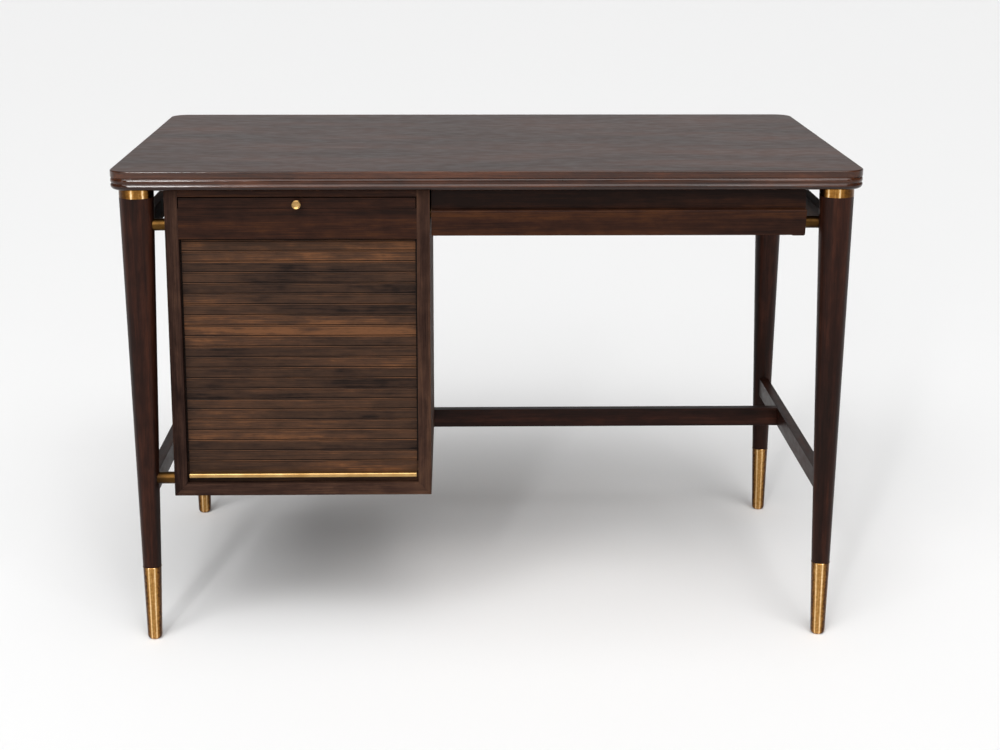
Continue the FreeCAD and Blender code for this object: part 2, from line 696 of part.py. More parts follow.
def make_frames():
    mortise_half = tenon_thickness / 2 + joint_gap
    cross_middle = cross_stretcher_front + rail_width / 2
    inner_face = leg_x - rail_width / 2
    for side in SIDES:
        sense = SIDES[side]
        deep = inner_face + cross_tenon_length + joint_gap
        x_pair = (inner_face, deep) if sense > 0 else (-deep, -inner_face)
        mortise = box(f"cross_mortise_{side}",
                      (x_pair[0], cross_middle - mortise_half,
                       stretcher_bottom + tenon_shoulder - joint_gap),
                      (x_pair[1], cross_middle + mortise_half,
                       stretcher_bottom + rail_height - tenon_shoulder + joint_gap))
        make_side_rail(f"side_stretcher_{side}", side, stretcher_bottom, mortise)
        seat = inner_face + spacer_rail_seat
        low_x = inner_face if sense > 0 else -seat
        sink = rod(f"rear_sink_{side}", spacer_radius + joint_gap,
                   (low_x, case_back - rear_spacer_inset, upper_rail_top - rear_spacer_drop),
                   spacer_rail_seat, "X")
        make_side_rail(f"side_rail_{side}", side, upper_rail_bottom, sink)

    tenon_reach = inner_face + cross_tenon_length
    beam = fuse("cross_stretcher_whole", [
        box("cross_stretcher_beam",
            (-inner_face, cross_stretcher_front, stretcher_bottom),
            (inner_face, cross_stretcher_front + rail_width, stretcher_bottom + rail_height)),
        box("cross_stretcher_tenon",
            (-tenon_reach, cross_middle - tenon_thickness / 2, stretcher_bottom + tenon_shoulder),
            (tenon_reach, cross_middle + tenon_thickness / 2,
             stretcher_bottom + rail_height - tenon_shoulder)),
    ])
    holes = [countersunk(f"stretcher_hole_{index}", x)
             for index, x in enumerate(stretcher_screw_places())]
    drilled = cut("cross_stretcher_cut", beam, fuse("stretcher_holes", holes))
    node(drilled, "cross_stretcher")


def stretcher_screw_places():
    return [inner_left + screw_inset, pedestal_middle, inner_right - screw_inset]


def stretcher_screw_height():
    return pedestal_bottom + bottom_thickness / 2


def countersunk(name, x):
    """A screw lying along Y, its head flush in the rear of the cross stretcher."""
    head_face = cross_stretcher_front + rail_width
    screw = turned(name, [
        (ZERO, ZERO),
        (screw_head_radius, ZERO),
        (screw_shank_radius, screw_head_height),
        (screw_shank_radius, rail_width + screw_grip),
        (ZERO, rail_width + screw_grip),
    ])
    screw.Placement = FreeCAD.Placement(FreeCAD.Vector(0, 0, 0),
                                        FreeCAD.Rotation(FreeCAD.Vector(1, 0, 0), 90))
    return place(screw, x, head_face, stretcher_screw_height())


make_frames()
node(group("stretcher_screw_group",
           [countersunk(f"stretcher_screw_{index}", x)
            for index, x in enumerate(stretcher_screw_places())]), "stretcher_screws")


# ---------------------------------------------------------------------------
# Brass spacers: a shouldered rod from a leg or rail to the side of the case
# ---------------------------------------------------------------------------

def make_spacer(label, side, end_x, y, height):
    face = pedestal_left if side == "left" else drawer_case_outer
    sense = SIDES[side]
    length = (end_x - face) * sense
    spacer = turned(label, [
        (ZERO, ZERO),
        (spacer_radius, ZERO),
        (spacer_radius, length),
        (spacer_stud_radius, length),
        (spacer_stud_radius, length + spacer_stud_length),
        (ZERO, length + spacer_stud_length),
    ])
    spacer.Placement = FreeCAD.Placement(
        FreeCAD.Vector(0, 0, 0), FreeCAD.Rotation(FreeCAD.Vector(0, 1, 0), -90 * sense))
    place(spacer, end_x, y, height)
    node(spacer, label)


for spacer_name, spacer_side, carrier, end_x, spacer_y, spacer_z in spacer_plan():
    make_spacer(spacer_name, spacer_side, end_x, spacer_y, spacer_z)


def stud_holes(prefix, side):
    """Blind holes for the spacers' studs in the case side that they stand against."""
    holes = []
    for name, spacer_side, carrier, seat, y, height in spacer_plan():
        if spacer_side != side:
            continue
        depth = spacer_stud_length + joint_gap
        low_x = pedestal_left if side == "left" else drawer_case_outer - depth
        holes.append(rod(f"{prefix}_{name}", spacer_stud_radius + joint_gap,
                         (low_x, y, height), depth, "X"))
    return holes


# ---------------------------------------------------------------------------
# Pedestal case
# ---------------------------------------------------------------------------

def track_outline():
    """The tambour's track seen along X, as (y, z): up, round the bend and back."""
    half = tongue_thickness / 2 + track_clearance
    outer = track_bend_radius + half
    inner = track_bend_radius - half
    centre = (bend_centre_y, bend_bottom)
    return [
        (bend_centre_y - outer, floor_of_case),
        (bend_centre_y - inner, floor_of_case),
        (bend_centre_y - inner, bend_bottom, centre, "right"),
        (bend_centre_y, bend_bottom + inner),
        (track_end, bend_bottom + inner),
        (track_end, bend_bottom + outer),
        (bend_centre_y, bend_bottom + outer, centre, "left"),
        (bend_centre_y - outer, bend_bottom),
    ]


def shelf_bottom():
    return floor_of_case + shelf_height


def shelf_front():
    return slat_face + lead_rail_thickness + shelf_front_gap


def shelf_pin_places():
    """Pins under the shelf, as (y, z)."""
    height = shelf_bottom() - shelf_pin_radius
    front = shelf_front() + shelf_pin_inset
    rear = back_front - shelf_gap - shelf_pin_inset
    return [(front, height), (rear, height)]


def make_pedestal_side(label, side):
    """A side with its mitred foot, the tambour's track and the shelf pin holes."""
    left = side == "left"
    outer = pedestal_left if left else pedestal_right
    inner = inner_left if left else inner_right
    mitre = [(outer, pedestal_bottom), (inner, floor_of_case), (inner, underside),
             (outer, underside)]
    body = new_body(label + "_board")
    extrude(body, label + "_pad", "Y", case_front, case_back - case_front, mitre)
    track_start = inner - track_depth if left else inner
    extrude(body, label + "_track", "X", track_start, track_depth, track_outline(),
            "PartDesign::Pocket")
    holes = []
    hole_start = inner - shelf_pin_hole if left else inner
    for index, (y, z) in enumerate(shelf_pin_places()):
        holes.append(rod(f"{label}_pin_hole_{index}", shelf_pin_radius + joint_gap,
                         (hole_start, y, z), shelf_pin_hole, "X"))
    if left:
        holes += stud_holes(label, "left")
    node(cut(label + "_cut", body, fuse(label + "_holes", holes)), label)


def screw_down(name, x, y):
    """A screw standing on its countersunk head in the underside of the pedestal top."""
    screw = turned(name, [
        (ZERO, ZERO),
        (screw_head_radius, ZERO),
        (screw_shank_radius, screw_head_height),
        (screw_shank_radius, case_top_thickness + spigot_socket - joint_gap),
        (ZERO, case_top_thickness + spigot_socket - joint_gap),
    ])
    return place(screw, x, y, case_top_bottom)


def make_pedestal():
    make_pedestal_side("pedestal_side_left", "left")
    make_pedestal_side("pedestal_side_right", "right")

    bottom = prism("pedestal_bottom_board", "Y", case_front, case_back - case_front, [
        (pedestal_left, pedestal_bottom), (pedestal_right, pedestal_bottom),
        (inner_right, floor_of_case), (inner_left, floor_of_case)])
    holes = []
    for index, x in enumerate(stretcher_screw_places()):
        holes.append(rod(f"bottom_pilot_{index}", screw_shank_radius,
                         (x, case_back - screw_grip, stretcher_screw_height()),
                         screw_grip, "Y"))
    node(cut("pedestal_bottom_cut", bottom, fuse("bottom_pilots", holes)), "pedestal_bottom")

    node(box("pedestal_back_board", (inner_left, back_front, floor_of_case),
             (inner_right, case_back, underside)), "pedestal_back")

    lid = box("pedestal_top_board", (inner_left, case_front, case_top_bottom),
              (inner_right, back_front, underside))
    holes = [screw_down(f"top_hole_{index}", x, y)
             for index, (x, y) in enumerate(top_screw_places())]
    node(cut("pedestal_top_cut", lid, fuse("top_holes", holes)), "pedestal_top")
    screws = [screw_down(f"top_screw_{index}", x, y)
              for index, (x, y) in enumerate(top_screw_places())]
    node(group("top_screw_group", screws), "top_screws")

    node(box("front_rail_board", (inner_left, case_front, front_rail_bottom),
             (inner_right, front_rail_back, front_rail_top)), "front_rail")

    rear = back_front
    for side in SIDES:
        left = side == "left"
        low_x = inner_left if left else inner_right - slide_runner_width
        high_x = inner_left + slide_runner_width if left else inner_right
        node(box(f"slide_runner_{side}_bar", (low_x, front_rail_back, slide_runner_bottom),
                 (high_x, rear, front_rail_top)), f"slide_runner_{side}")

    level = shelf_bottom()
    node(box("shelf_board", (inner_left + shelf_gap, shelf_front(), level),
             (inner_right - shelf_gap, back_front - shelf_gap, level + shelf_thickness)),
         "shelf")
    pins = []
    for index, (y, z) in enumerate(shelf_pin_places()):
        for side, start in (("left", inner_left - shelf_pin_hole),
                            ("right", inner_right - shelf_pin_reach)):
            pins.append(rod(f"shelf_pin_{side}_{index}", shelf_pin_radius, (start, y, z),
                            shelf_pin_hole + shelf_pin_reach, "X"))
    node(group("shelf_pin_group", pins), "shelf_pins")


make_pedestal()


# ---------------------------------------------------------------------------
# Writing slide
# ---------------------------------------------------------------------------

def make_slide():
    left = inner_left + slide_gap_side
    right = inner_right - slide_gap_side
    rear = back_front - slide_rear_gap
    edge_back = case_front + slide_edge_width
    pin_y = rear - stop_pin_back
    pin_bottom = slide_bottom - stop_pin_drop
    pin_length = stop_pin_drop + stop_pin_depth

    def pins(prefix, radius):
        return [rod(f"{prefix}_{index}", radius, (x, pin_y, pin_bottom), pin_length, "Z")
                for index, x in enumerate((left + stop_pin_inset, right - stop_pin_inset))]

    board = box("slide_board", (left, edge_back, slide_bottom), (right, rear, slide_top))
    drilled = cut("slide_cut", board, fuse("slide_pin_holes", pins("slide_hole", stop_pin_radius)))
    node(drilled, "writing_slide")
    node(group("slide_pin_group", pins("slide_pin", stop_pin_radius)), "slide_stop_pins")

    edge = box("slide_edge_blank", (left, case_front, slide_bottom), (right, edge_back, slide_top))
    knob_z = (slide_top + slide_bottom) / 2
    stud_hole = rod("knob_hole", knob_stud_radius, (pedestal_middle, case_front, knob_z),
                    knob_stud_length, "Y")
    node(cut("slide_edge_cut", edge, stud_hole), "slide_edge")

    head_back = knob_reach - knob_rim
    rim = knob_radius - knob_dish
    knob = turned("slide_knob", [
        (ZERO, -knob_stud_length),
        (knob_stud_radius, -knob_stud_length),
        (knob_stud_radius, ZERO),
        (knob_neck_radius + knob_dish, ZERO),
        (knob_neck_radius, knob_dish),
        (knob_neck_radius, head_back - knob_dish),
        (knob_radius - knob_dish, head_back),
        (knob_radius, head_back + knob_dish),
        (knob_radius, knob_reach - knob_dish / 2),
        (rim + knob_dish / 2, knob_reach),
        (rim, knob_reach),
        (knob_neck_radius, knob_reach - knob_dish),
        (ZERO, knob_reach - knob_dish),
    ])
    knob.Placement = FreeCAD.Placement(FreeCAD.Vector(0, 0, 0),
                                       FreeCAD.Rotation(FreeCAD.Vector(1, 0, 0), 90))
    place(knob, pedestal_middle, case_front, knob_z)
    node(knob, "slide_knob")


make_slide()


# ---------------------------------------------------------------------------
# Tambour: lead rail with its pull, slats with tongues in the track, canvas
# ---------------------------------------------------------------------------

lead_bottom = floor_of_case + lead_rail_gap
lead_top = lead_bottom + lead_rail_height
slat_run = front_rail_bottom - lead_top - top_slat_showing
slat_pitch = slat_run / slat_count
slat_back = slat_face + slat_thickness
shoulder_left = inner_left + slat_end_gap
shoulder_right = inner_right - slat_end_gap
tongue_left = inner_left - track_depth + track_clearance
tongue_right = inner_right + track_depth - track_clearance
tongue_front = track_y - tongue_thickness / 2
tongue_back = track_y + tongue_thickness / 2


def slat_section(front, bottom):
    """Section of a slat as (y, z): flat face, quirk and bead at its lower edge."""
    back = front + slat_thickness
    low = bottom + slat_gap / 2
    high = bottom + slat_pitch - slat_gap / 2
    bead_top = low + slat_bead
    quirk_top = bead_top + slat_quirk
    quirk_back = front + slat_quirk_depth
    return [(back, low), (back, high), (front, high), (front, quirk_top),
            (quirk_back, quirk_top), (quirk_back, bead_top), (front, bead_top), (front, low)]


def slat_features(body, name, front, bottom):
    """A slat between its shoulders, and the thinner tongues that run in the track."""
    middle = front + slat_thickness / 2
    low = bottom + slat_gap / 2
    high = bottom + slat_pitch - slat_gap / 2
    face = extrude(body, name + "_slat", "X", shoulder_left, shoulder_right - shoulder_left,
                   slat_section(front, bottom))
    tongue = extrude(body, name + "_tongue", "X", tongue_left, tongue_right - tongue_left,
                     rectangle((middle - tongue_thickness / 2, low),
                               (middle + tongue_thickness / 2, high)))
    return [face, tongue]


def make_slats():
    visible = new_body("visible_slats")
    visible.AllowCompound = True
    features = slat_features(visible, "visible", slat_face, lead_top)
    doc.recompute()
    pattern = visible.newObject("PartDesign::LinearPattern", "slat_pattern")
    pattern.Originals = features
    z_axis = [item for item in visible.Origin.OriginFeatures if item.Role == "Z_Axis"][0]
    pattern.Direction = (z_axis, [""])
    bind(pattern, "Length", slat_pitch * (slat_count - 1))
    bind(pattern, "Occurrences", slat_count)
    visible.Tip = pattern

    turning = new_body("turning_slat")
    slat_features(turning, "turning", -track_bend_radius - slat_thickness / 2, -slat_pitch / 2)
    into_bend = lead_top + slat_run + slat_pitch / 2 - bend_bottom
    angle = into_bend / track_bend_radius * (180 / math.pi)
    turning.Placement = FreeCAD.Placement(
        FreeCAD.Vector(0, 0, 0), FreeCAD.Rotation(FreeCAD.Vector(-1, 0, 0), angle.value))
    bind(turning, "Placement.Rotation.Angle", angle)
    place(turning, ZERO, bend_centre_y, bend_bottom)
    node(group("slat_group", [visible, turning]), "tambour_slats")


make_slats()



def make_canvas():
    """The canvas behind the slats: flat up the opening, then round the start of the bend."""
    front_radius = track_bend_radius - slat_thickness / 2
    back_radius = front_radius - canvas_thickness
    length_in_bend = lead_top + slat_run + slat_pitch - bend_bottom
    angle = length_in_bend / track_bend_radius * (180 / math.pi)
    centre = (bend_centre_y, bend_bottom)

    def at_end(radius):
        return bend_centre_y - radius * cosine(angle), bend_bottom + radius * sine(angle)

    outline = [
        (slat_back, lead_top),
        (slat_back + canvas_thickness, lead_top),
        (slat_back + canvas_thickness, bend_bottom, centre, "right"),
        at_end(back_radius),
        (*at_end(front_radius), centre, "left"),
        (slat_back, bend_bottom),
    ]
    left = shoulder_left + canvas_margin
    right = shoulder_right - canvas_margin
    node(prism("canvas_sheet", "X", left, right - left, outline), "tambour_canvas")


make_canvas()


def make_lead_rail():
    back = slat_face + lead_rail_thickness
    rail = new_body("lead_rail_bar")
    extrude(rail, "lead_rail_pad", "X", shoulder_left, shoulder_right - shoulder_left,
            rectangle((slat_face, lead_bottom), (back, lead_top - slat_gap / 2)))
    extrude(rail, "lead_rail_tongues", "X", tongue_left, tongue_right - tongue_left,
            rectangle((tongue_front, lead_bottom), (tongue_back, lead_top - slat_gap / 2)))

    pull_bottom = lead_bottom + pull_rise
    pull_top = pull_bottom + pull_height
    pull_front = slat_face - pull_reach
    tongue_low = pull_bottom + (pull_height - pull_tongue_height) / 2
    tongue_high = tongue_low + pull_tongue_height
    tongue_tip = slat_face + pull_tongue
    pull_left = shoulder_left + pull_end_gap
    pull_right = shoulder_right - pull_end_gap

    bar = prism("pull_bar", "X", pull_left, pull_right - pull_left, [
        (slat_face, pull_bottom),
        (slat_face, tongue_low),
        (tongue_tip, tongue_low),
        (tongue_tip, tongue_high),
        (slat_face, tongue_high),
        (slat_face, pull_top),
        (pull_front + pull_nose, pull_top, (pull_front + pull_nose, pull_top - pull_nose), "left"),
        (pull_front, pull_top - pull_nose),
        (pull_front, pull_bottom + pull_nose,
         (pull_front + pull_nose, pull_bottom + pull_nose), "left"),
        (pull_front + pull_nose, pull_bottom),
    ])
    groove = box("pull_groove", (pull_left - joint_gap, slat_face, tongue_low - joint_gap),
                 (pull_right + joint_gap, tongue_tip + joint_gap, tongue_high + joint_gap))

    screw_z = (tongue_low + tongue_high) / 2
    depth = back - slat_face + pull_reach / 2
    places = (pull_left + screw_inset, pedestal_middle, pull_right - screw_inset)

    def screws(prefix):
        return [rod(f"{prefix}_{index}", pull_screw_radius, (x, back - depth, screw_z), depth, "Y")
                for index, x in enumerate(places)]

    rail_tools = fuse("lead_rail_tools", [groove] + screws("lead_rail_hole"))
    node(cut("lead_rail_cut", rail, rail_tools), "tambour_lead_rail")
    node(cut("pull_cut", bar, fuse("pull_holes", screws("pull_hole"))), "tambour_pull")
    node(group("pull_screw_group", screws("pull_screw")), "pull_screws")


make_lead_rail()


# ---------------------------------------------------------------------------
# Pencil drawer and its case
# ---------------------------------------------------------------------------

drawer_left = pedestal_right + drawer_running_gap
drawer_right = drawer_case_inner - drawer_running_gap
drawer_side_bottom = drawer_front_bottom + drawer_side_rise
drawer_side_top = drawer_side_bottom + drawer_side_height
drawer_rear = back_front - drawer_rear_gap
drawer_floor_bottom = drawer_side_bottom + drawer_bottom_rise
drawer_floor_top = drawer_floor_bottom + drawer_bottom_thickness


def make_drawer_case():
    end = box("drawer_case_end_board",
              (drawer_case_inner, drawer_case_front, drawer_case_bottom),
              (drawer_case_outer, case_back, underside))
    holes = fuse("drawer_case_end_holes", stud_holes("case_end", "right"))
    node(cut("drawer_case_end_cut", end, holes), "drawer_case_end")
    node(box("drawer_case_back_board", (pedestal_right, back_front, drawer_case_bottom),
             (drawer_case_inner, case_back, underside)), "drawer_case_back")

    reach = drawer_running_gap + runner_groove_depth - runner_clearance
    low = drawer_side_bottom + runner_groove_rise + runner_clearance
    high = drawer_side_bottom + runner_groove_rise + runner_groove_height - runner_clearance
    start = drawer_front_back + runner_stop + drawer_front_clearance
    for side, x_low, x_high in (
            ("left", pedestal_right, pedestal_right + reach),
            ("right", drawer_case_inner - reach, drawer_case_inner)):
        node(box(f"drawer_runner_{side}_bar", (x_low, start, low), (x_high, back_front, high)),
             f"drawer_runner_{side}")


def drawer_front_outline():
    """Section of the drawer front as (y, z): leaning lip, finger cove and recessed band."""
    lip_top = drawer_front_bottom + drawer_lip_height
    lip_back = case_front + drawer_lip_width
    band = case_front + drawer_band_recess
    cove_middle = (lip_back + band) / 2
    cove_height = lip_top - drawer_cove_depth + (band - lip_back) / 2
    round_y = case_front + drawer_lip_round
    round_z = lip_top - drawer_lip_round
    return [
        (drawer_front_back, drawer_front_bottom),
        (drawer_front_back, drawer_top),
        (band, drawer_top),
        (band, cove_height, (cove_middle, cove_height), "right"),
        (lip_back, cove_height),
        (lip_back, lip_top),
        (round_y, lip_top, (round_y, round_z), "left"),
        (case_front, round_z),
        (case_front + drawer_lip_lean, drawer_front_bottom),
    ]


def make_drawer_side(label, side):
    left = side == "left"
    outer = drawer_left if left else drawer_right
    inner = outer + drawer_side_thickness if left else outer - drawer_side_thickness
    low_x, high_x = (outer, inner) if left else (inner, outer)
    board = box(label + "_board", (low_x, drawer_front_back, drawer_side_bottom),
                (high_x, drawer_rear, drawer_side_top))
    groove_x = (outer, outer + runner_groove_depth) if left else (outer - runner_groove_depth,
                                                                  outer)
    groove_low = drawer_side_bottom + runner_groove_rise
    runner_groove = box(label + "_runner_groove",
                        (groove_x[0], drawer_front_back + runner_stop, groove_low),
                        (groove_x[1], drawer_rear, groove_low + runner_groove_height))
    slot_x = (inner - drawer_groove, inner) if left else (inner, inner + drawer_groove)
    floor_groove = box(label + "_floor_groove",
                       (slot_x[0], drawer_front_back, drawer_floor_bottom - joint_gap),
                       (slot_x[1], drawer_rear, drawer_floor_top + joint_gap))
    grooves = fuse(label + "_grooves", [runner_groove, floor_groove])
    node(cut(label + "_cut", board, grooves), label)


def make_drawer():
    front_left = pedestal_right + drawer_front_end_gap
    front_right = drawer_case_outer - drawer_front_margin
    front_board = prism("drawer_front_board", "X", front_left, front_right - front_left,
                        drawer_front_outline())
    inner_l = drawer_left + drawer_side_thickness
    inner_r = drawer_right - drawer_side_thickness
    floor_left = inner_l - drawer_groove + joint_gap
    floor_right = inner_r + drawer_groove - joint_gap
    groove = box("drawer_front_groove_cut",
                 (floor_left - joint_gap, drawer_front_back - drawer_front_groove,
                  drawer_floor_bottom - joint_gap),
                 (floor_right + joint_gap, drawer_front_back, drawer_floor_top + joint_gap))
    node(cut("drawer_front_cut", front_board, groove), "drawer_front")
    make_drawer_side("drawer_side_left", "left")
    make_drawer_side("drawer_side_right", "right")
    node(box("drawer_back_board", (inner_l, drawer_rear - drawer_side_thickness, drawer_floor_top),
             (inner_r, drawer_rear, drawer_side_top)), "drawer_back")
    node(box("drawer_bottom_board",
             (floor_left, drawer_front_back - drawer_front_groove + joint_gap,
              drawer_floor_bottom),
             (floor_right, drawer_rear, drawer_floor_top)), "drawer_bottom")


make_drawer_case()
make_drawer()


# ---------------------------------------------------------------------------
# Build, test and write every sub-part
# ---------------------------------------------------------------------------

def export_all():
    doc.recompute()
    for item in doc.Objects:
        bad = [word for word in item.State if word in ("Invalid", "Error")]
        if bad:
            raise RuntimeError(f"{item.Name} ({item.Label}) is {bad}")
    os.makedirs("parts", exist_ok=True)
    for item in NODES:
        shape = item.Shape
        if shape.isNull() or not shape.isValid():
            raise RuntimeError(f"{item.Label} has no valid shape")
        shape.exportStep(f"parts/{item.Label}.step")
        size = shape.BoundBox
        print(f"{item.Label}: {len(shape.Solids)} solid(s), "
              f"{size.XLength:.1f} x {size.YLength:.1f} x {size.ZLength:.1f} mm, "
              f"{shape.Volume / 1000:.1f} cm3")
    print(len(NODES), "sub-parts")


export_all()
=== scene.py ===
# %% [markdown]
# # A tambour desk in stained walnut and brass
#
# The desk arrives as a imported CAD model: every board, leg and screw is already at its real size.
# This lesson gives it the look of the real thing. Boards get eased edges and a grain that runs the
# way each one was cut, brass gets turned edges, a hand-polished skin and painted highlights, and the
# tambour is built again slat by slat. Blender works in metres, so MM turns millimetres into its unit.

# %% Load the frame
import json
import math
import random

import bmesh
import bpy
from mathutils import Matrix, Vector

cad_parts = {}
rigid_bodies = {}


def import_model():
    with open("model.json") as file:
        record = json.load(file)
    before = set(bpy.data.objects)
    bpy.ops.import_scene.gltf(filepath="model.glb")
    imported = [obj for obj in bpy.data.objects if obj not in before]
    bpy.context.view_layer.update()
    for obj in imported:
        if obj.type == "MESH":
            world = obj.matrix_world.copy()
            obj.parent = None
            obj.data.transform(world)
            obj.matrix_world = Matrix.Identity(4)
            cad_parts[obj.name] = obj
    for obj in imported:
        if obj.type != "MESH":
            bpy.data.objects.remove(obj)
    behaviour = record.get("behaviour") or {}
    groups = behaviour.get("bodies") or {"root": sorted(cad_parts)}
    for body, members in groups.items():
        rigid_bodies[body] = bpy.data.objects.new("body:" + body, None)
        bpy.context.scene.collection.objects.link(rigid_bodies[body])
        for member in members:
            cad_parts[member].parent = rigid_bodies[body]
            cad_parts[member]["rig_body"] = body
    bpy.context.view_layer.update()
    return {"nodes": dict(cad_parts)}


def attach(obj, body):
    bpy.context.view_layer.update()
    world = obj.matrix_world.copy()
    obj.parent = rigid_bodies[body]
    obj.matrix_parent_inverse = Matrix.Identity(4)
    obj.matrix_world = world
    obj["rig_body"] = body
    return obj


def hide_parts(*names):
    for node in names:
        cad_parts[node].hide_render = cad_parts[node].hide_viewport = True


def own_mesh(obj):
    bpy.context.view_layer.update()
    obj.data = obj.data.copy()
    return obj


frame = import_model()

MM = 0.001
nodes = frame["nodes"]
bpy.ops.object.select_all(action="DESELECT")

# %% [markdown]
# ## Helpers for meshes
#
# An operator acts on whatever is selected, so each helper selects its own piece and nothing else.
# Inside a mesh, edges and faces are chosen by a question asked of each one, such as whether it
# lies at a certain height. A finished piece keeps its object at the origin and its place in its
# mesh, as a CAD node does, so that patterns on Object coordinates stay where they are. Boards are
# shaded smooth over angles up to 30 degrees, and slats and turned pieces up to 35.

# %% Selecting and editing
BOARD_ANGLE, ROUND_ANGLE = 30, 35


def select_only(piece):
    bpy.ops.object.select_all(action="DESELECT")
    piece.select_set(True)
    bpy.context.view_layer.objects.active = piece


def edit(piece, mode="EDGE"):
    """Enter edit mode with everything selected."""
    select_only(piece)
    bpy.ops.object.mode_set(mode="EDIT")
    bpy.ops.mesh.select_mode(type=mode)
    bpy.ops.mesh.select_all(action="SELECT")


def pick(piece, kind, wanted):
    """In edit mode, select the verts, edges or faces that the question wanted says yes to."""
    bpy.ops.mesh.select_all(action="DESELECT")
    mesh = bmesh.from_edit_mesh(piece.data)
    found = [item for item in getattr(mesh, kind) if wanted(item)]
    for item in found:
        item.select_set(True)
    bmesh.update_edit_mesh(piece.data)
    return len(found)


def finish_edit():
    bpy.ops.object.mode_set(mode="OBJECT")


def smooth(piece, degrees):
    """Smooth shading across edges flatter than the given angle, with flats kept flat."""
    select_only(piece)
    bpy.ops.object.shade_smooth_by_angle(angle=math.radians(degrees))
    modifier = piece.modifiers.new("Weighted_Normal", "WEIGHTED_NORMAL")
    modifier.keep_sharp = True
    bpy.ops.object.modifier_apply(modifier=modifier.name)


# %% [markdown]
# ## Numbers painted on a mesh
#
# No two boards are cut from the same place in the tree. Each piece therefore carries a number on
# all its points, and the wood material reads it to move its grain elsewhere. A named attribute
# does this with one material for many boards. A second one, the tone, makes a whole board or a
# place on it lighter or darker.


# %% Painting a number
def paint_number(piece, name, value):
    """Give every point of the piece the same value of a named attribute."""
    layer = piece.data.attributes.new(name, "FLOAT", "POINT")
    layer.data.foreach_set("value", [value] * len(piece.data.vertices))


def paint_by_place(piece, name, value_at):
    """Give each point what a function says for its place in millimetres."""
    paint_number(piece, name, 0.0)
    for point, item in zip(piece.data.vertices, piece.data.attributes[name].data):
        item.value = value_at(point.co / MM)


def dress(piece, material, body, slot, *replaced):
    """Give a finished piece its material, its CAD body and the nodes it stands for. The slot is not
    used.
    """
    piece.data.materials.clear()
    piece.data.materials.append(material)
    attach(piece, body)
    if replaced:
        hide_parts(*replaced)


# %% [markdown]
# ## Helpers for shaders
#
# Colours are picked as sRGB hex codes, as a paint chart gives them, but shaders work in linear
# light, so one function converts. Another adds a shader node with its settings and links at once,
# and with its colour stops if it is a colour ramp, which keeps each material short enough to read.


# %% Colours and shader nodes
def linear(hex_code):
    """An sRGB hex code as a linear RGBA colour."""
    channels = [int(hex_code[i:i + 2], 16) / 255 for i in (1, 3, 5)]
    curved = [c / 12.92 if c <= 0.04045 else ((c + 0.055) / 1.055) ** 2.4 for c in channels]
    return (*curved, 1.0)


def add_node(tree, kind, inputs=None, stops=(), **settings):
    """A new shader node. An input is a value or a socket to link from, a stop (position, hex)."""
    item = tree.nodes.new(kind)
    for name, value in settings.items():
        setattr(item, name, value)
    for index, (position, hex_code) in enumerate(stops):
        elements = item.color_ramp.elements
        element = elements[index] if index < 2 else elements.new(position)
        element.position = position
        element.color = linear(hex_code)
    for name, value in (inputs or {}).items():
        if isinstance(value, bpy.types.NodeSocket):
            tree.links.new(value, item.inputs[name])
        else:
            item.inputs[name].default_value = value
    return item


def new_material(name, **constants):
    """A material with a Principled shader, and the constants set on the shader's own sockets."""
    material = bpy.data.materials.new(name)
    material.use_nodes = True
    tree = material.node_tree
    tree.nodes.clear()
    shader = add_node(tree, "ShaderNodeBsdfPrincipled")
    output = add_node(tree, "ShaderNodeOutputMaterial")
    tree.links.new(shader.outputs["BSDF"], output.inputs["Surface"])
    for socket, value in constants.items():
        shader.inputs[socket.replace("_", " ")].default_value = value
    return material, tree, shader


# %% [markdown]
# ## Stained walnut
#
# Walnut is open-pored. Under a dark stain and satin lacquer the eye finds soft bands where growth
# rings were cut, a faint mottle across them, fine streaks along them, and pores like short pencil
# dashes. All four are the same noise, stretched along the grain, at four real sizes. The first
# three are weighed into one figure, which picks the depth of the stain, and the pores darken it.
# A wave texture would be quicker but repeats like printed paper. Lacquer has an IOR near 1.5 and
# lies thin, so the pores still show as a faint relief. Real pores are about 0.2 mm wide, too fine
# to show, and are drawn 0.6 mm wide.

# %% Marks along the grain
GRAIN_TURN = {"X": (0, 0, 0), "Y": (0, 0, math.radians(90)), "Z": (0, math.radians(90), 0)}
BOARD_SHIFT = (0.83, 0.37, 0.59)


def grain_coordinates(tree, grain):
    """Object coordinates with X turned along the grain and each board moved to its own place."""
    place = add_node(tree, "ShaderNodeTexCoord").outputs["Object"]
    board = add_node(tree, "ShaderNodeAttribute", attribute_name="board").outputs["Fac"]
    shift = add_node(tree, "ShaderNodeVectorMath", {0: BOARD_SHIFT, "Scale": board},
                     operation="SCALE").outputs["Vector"]
    moved = add_node(tree, "ShaderNodeVectorMath", {0: place, 1: shift},
                     operation="ADD").outputs["Vector"]
    return add_node(tree, "ShaderNodeMapping",
                    {"Vector": moved, "Rotation": GRAIN_TURN[grain]}).outputs["Vector"]


def grain_noise(tree, along, size_mm, detail):
    """Noise in marks that are size_mm long and wide, lying along X."""
    long_mm, wide_mm = size_mm
    scale = (1 / (long_mm * MM), 1 / (wide_mm * MM), 1 / (wide_mm * MM))
    mapped = add_node(tree, "ShaderNodeMapping", {"Vector": along, "Scale": scale})
    return add_node(tree, "ShaderNodeTexNoise",
                    {"Vector": mapped.outputs["Vector"], "Scale": 1.0, "Detail": detail,
                     "Roughness": 0.55}).outputs["Fac"]


def weighted_sum(tree, start, parts):
    """The start value plus each value times its weight."""
    total = start
    for value, weight in parts:
        total = add_node(tree, "ShaderNodeMath", {0: value, 1: weight, 2: total},
                         operation="MULTIPLY_ADD").outputs["Value"]
    return total


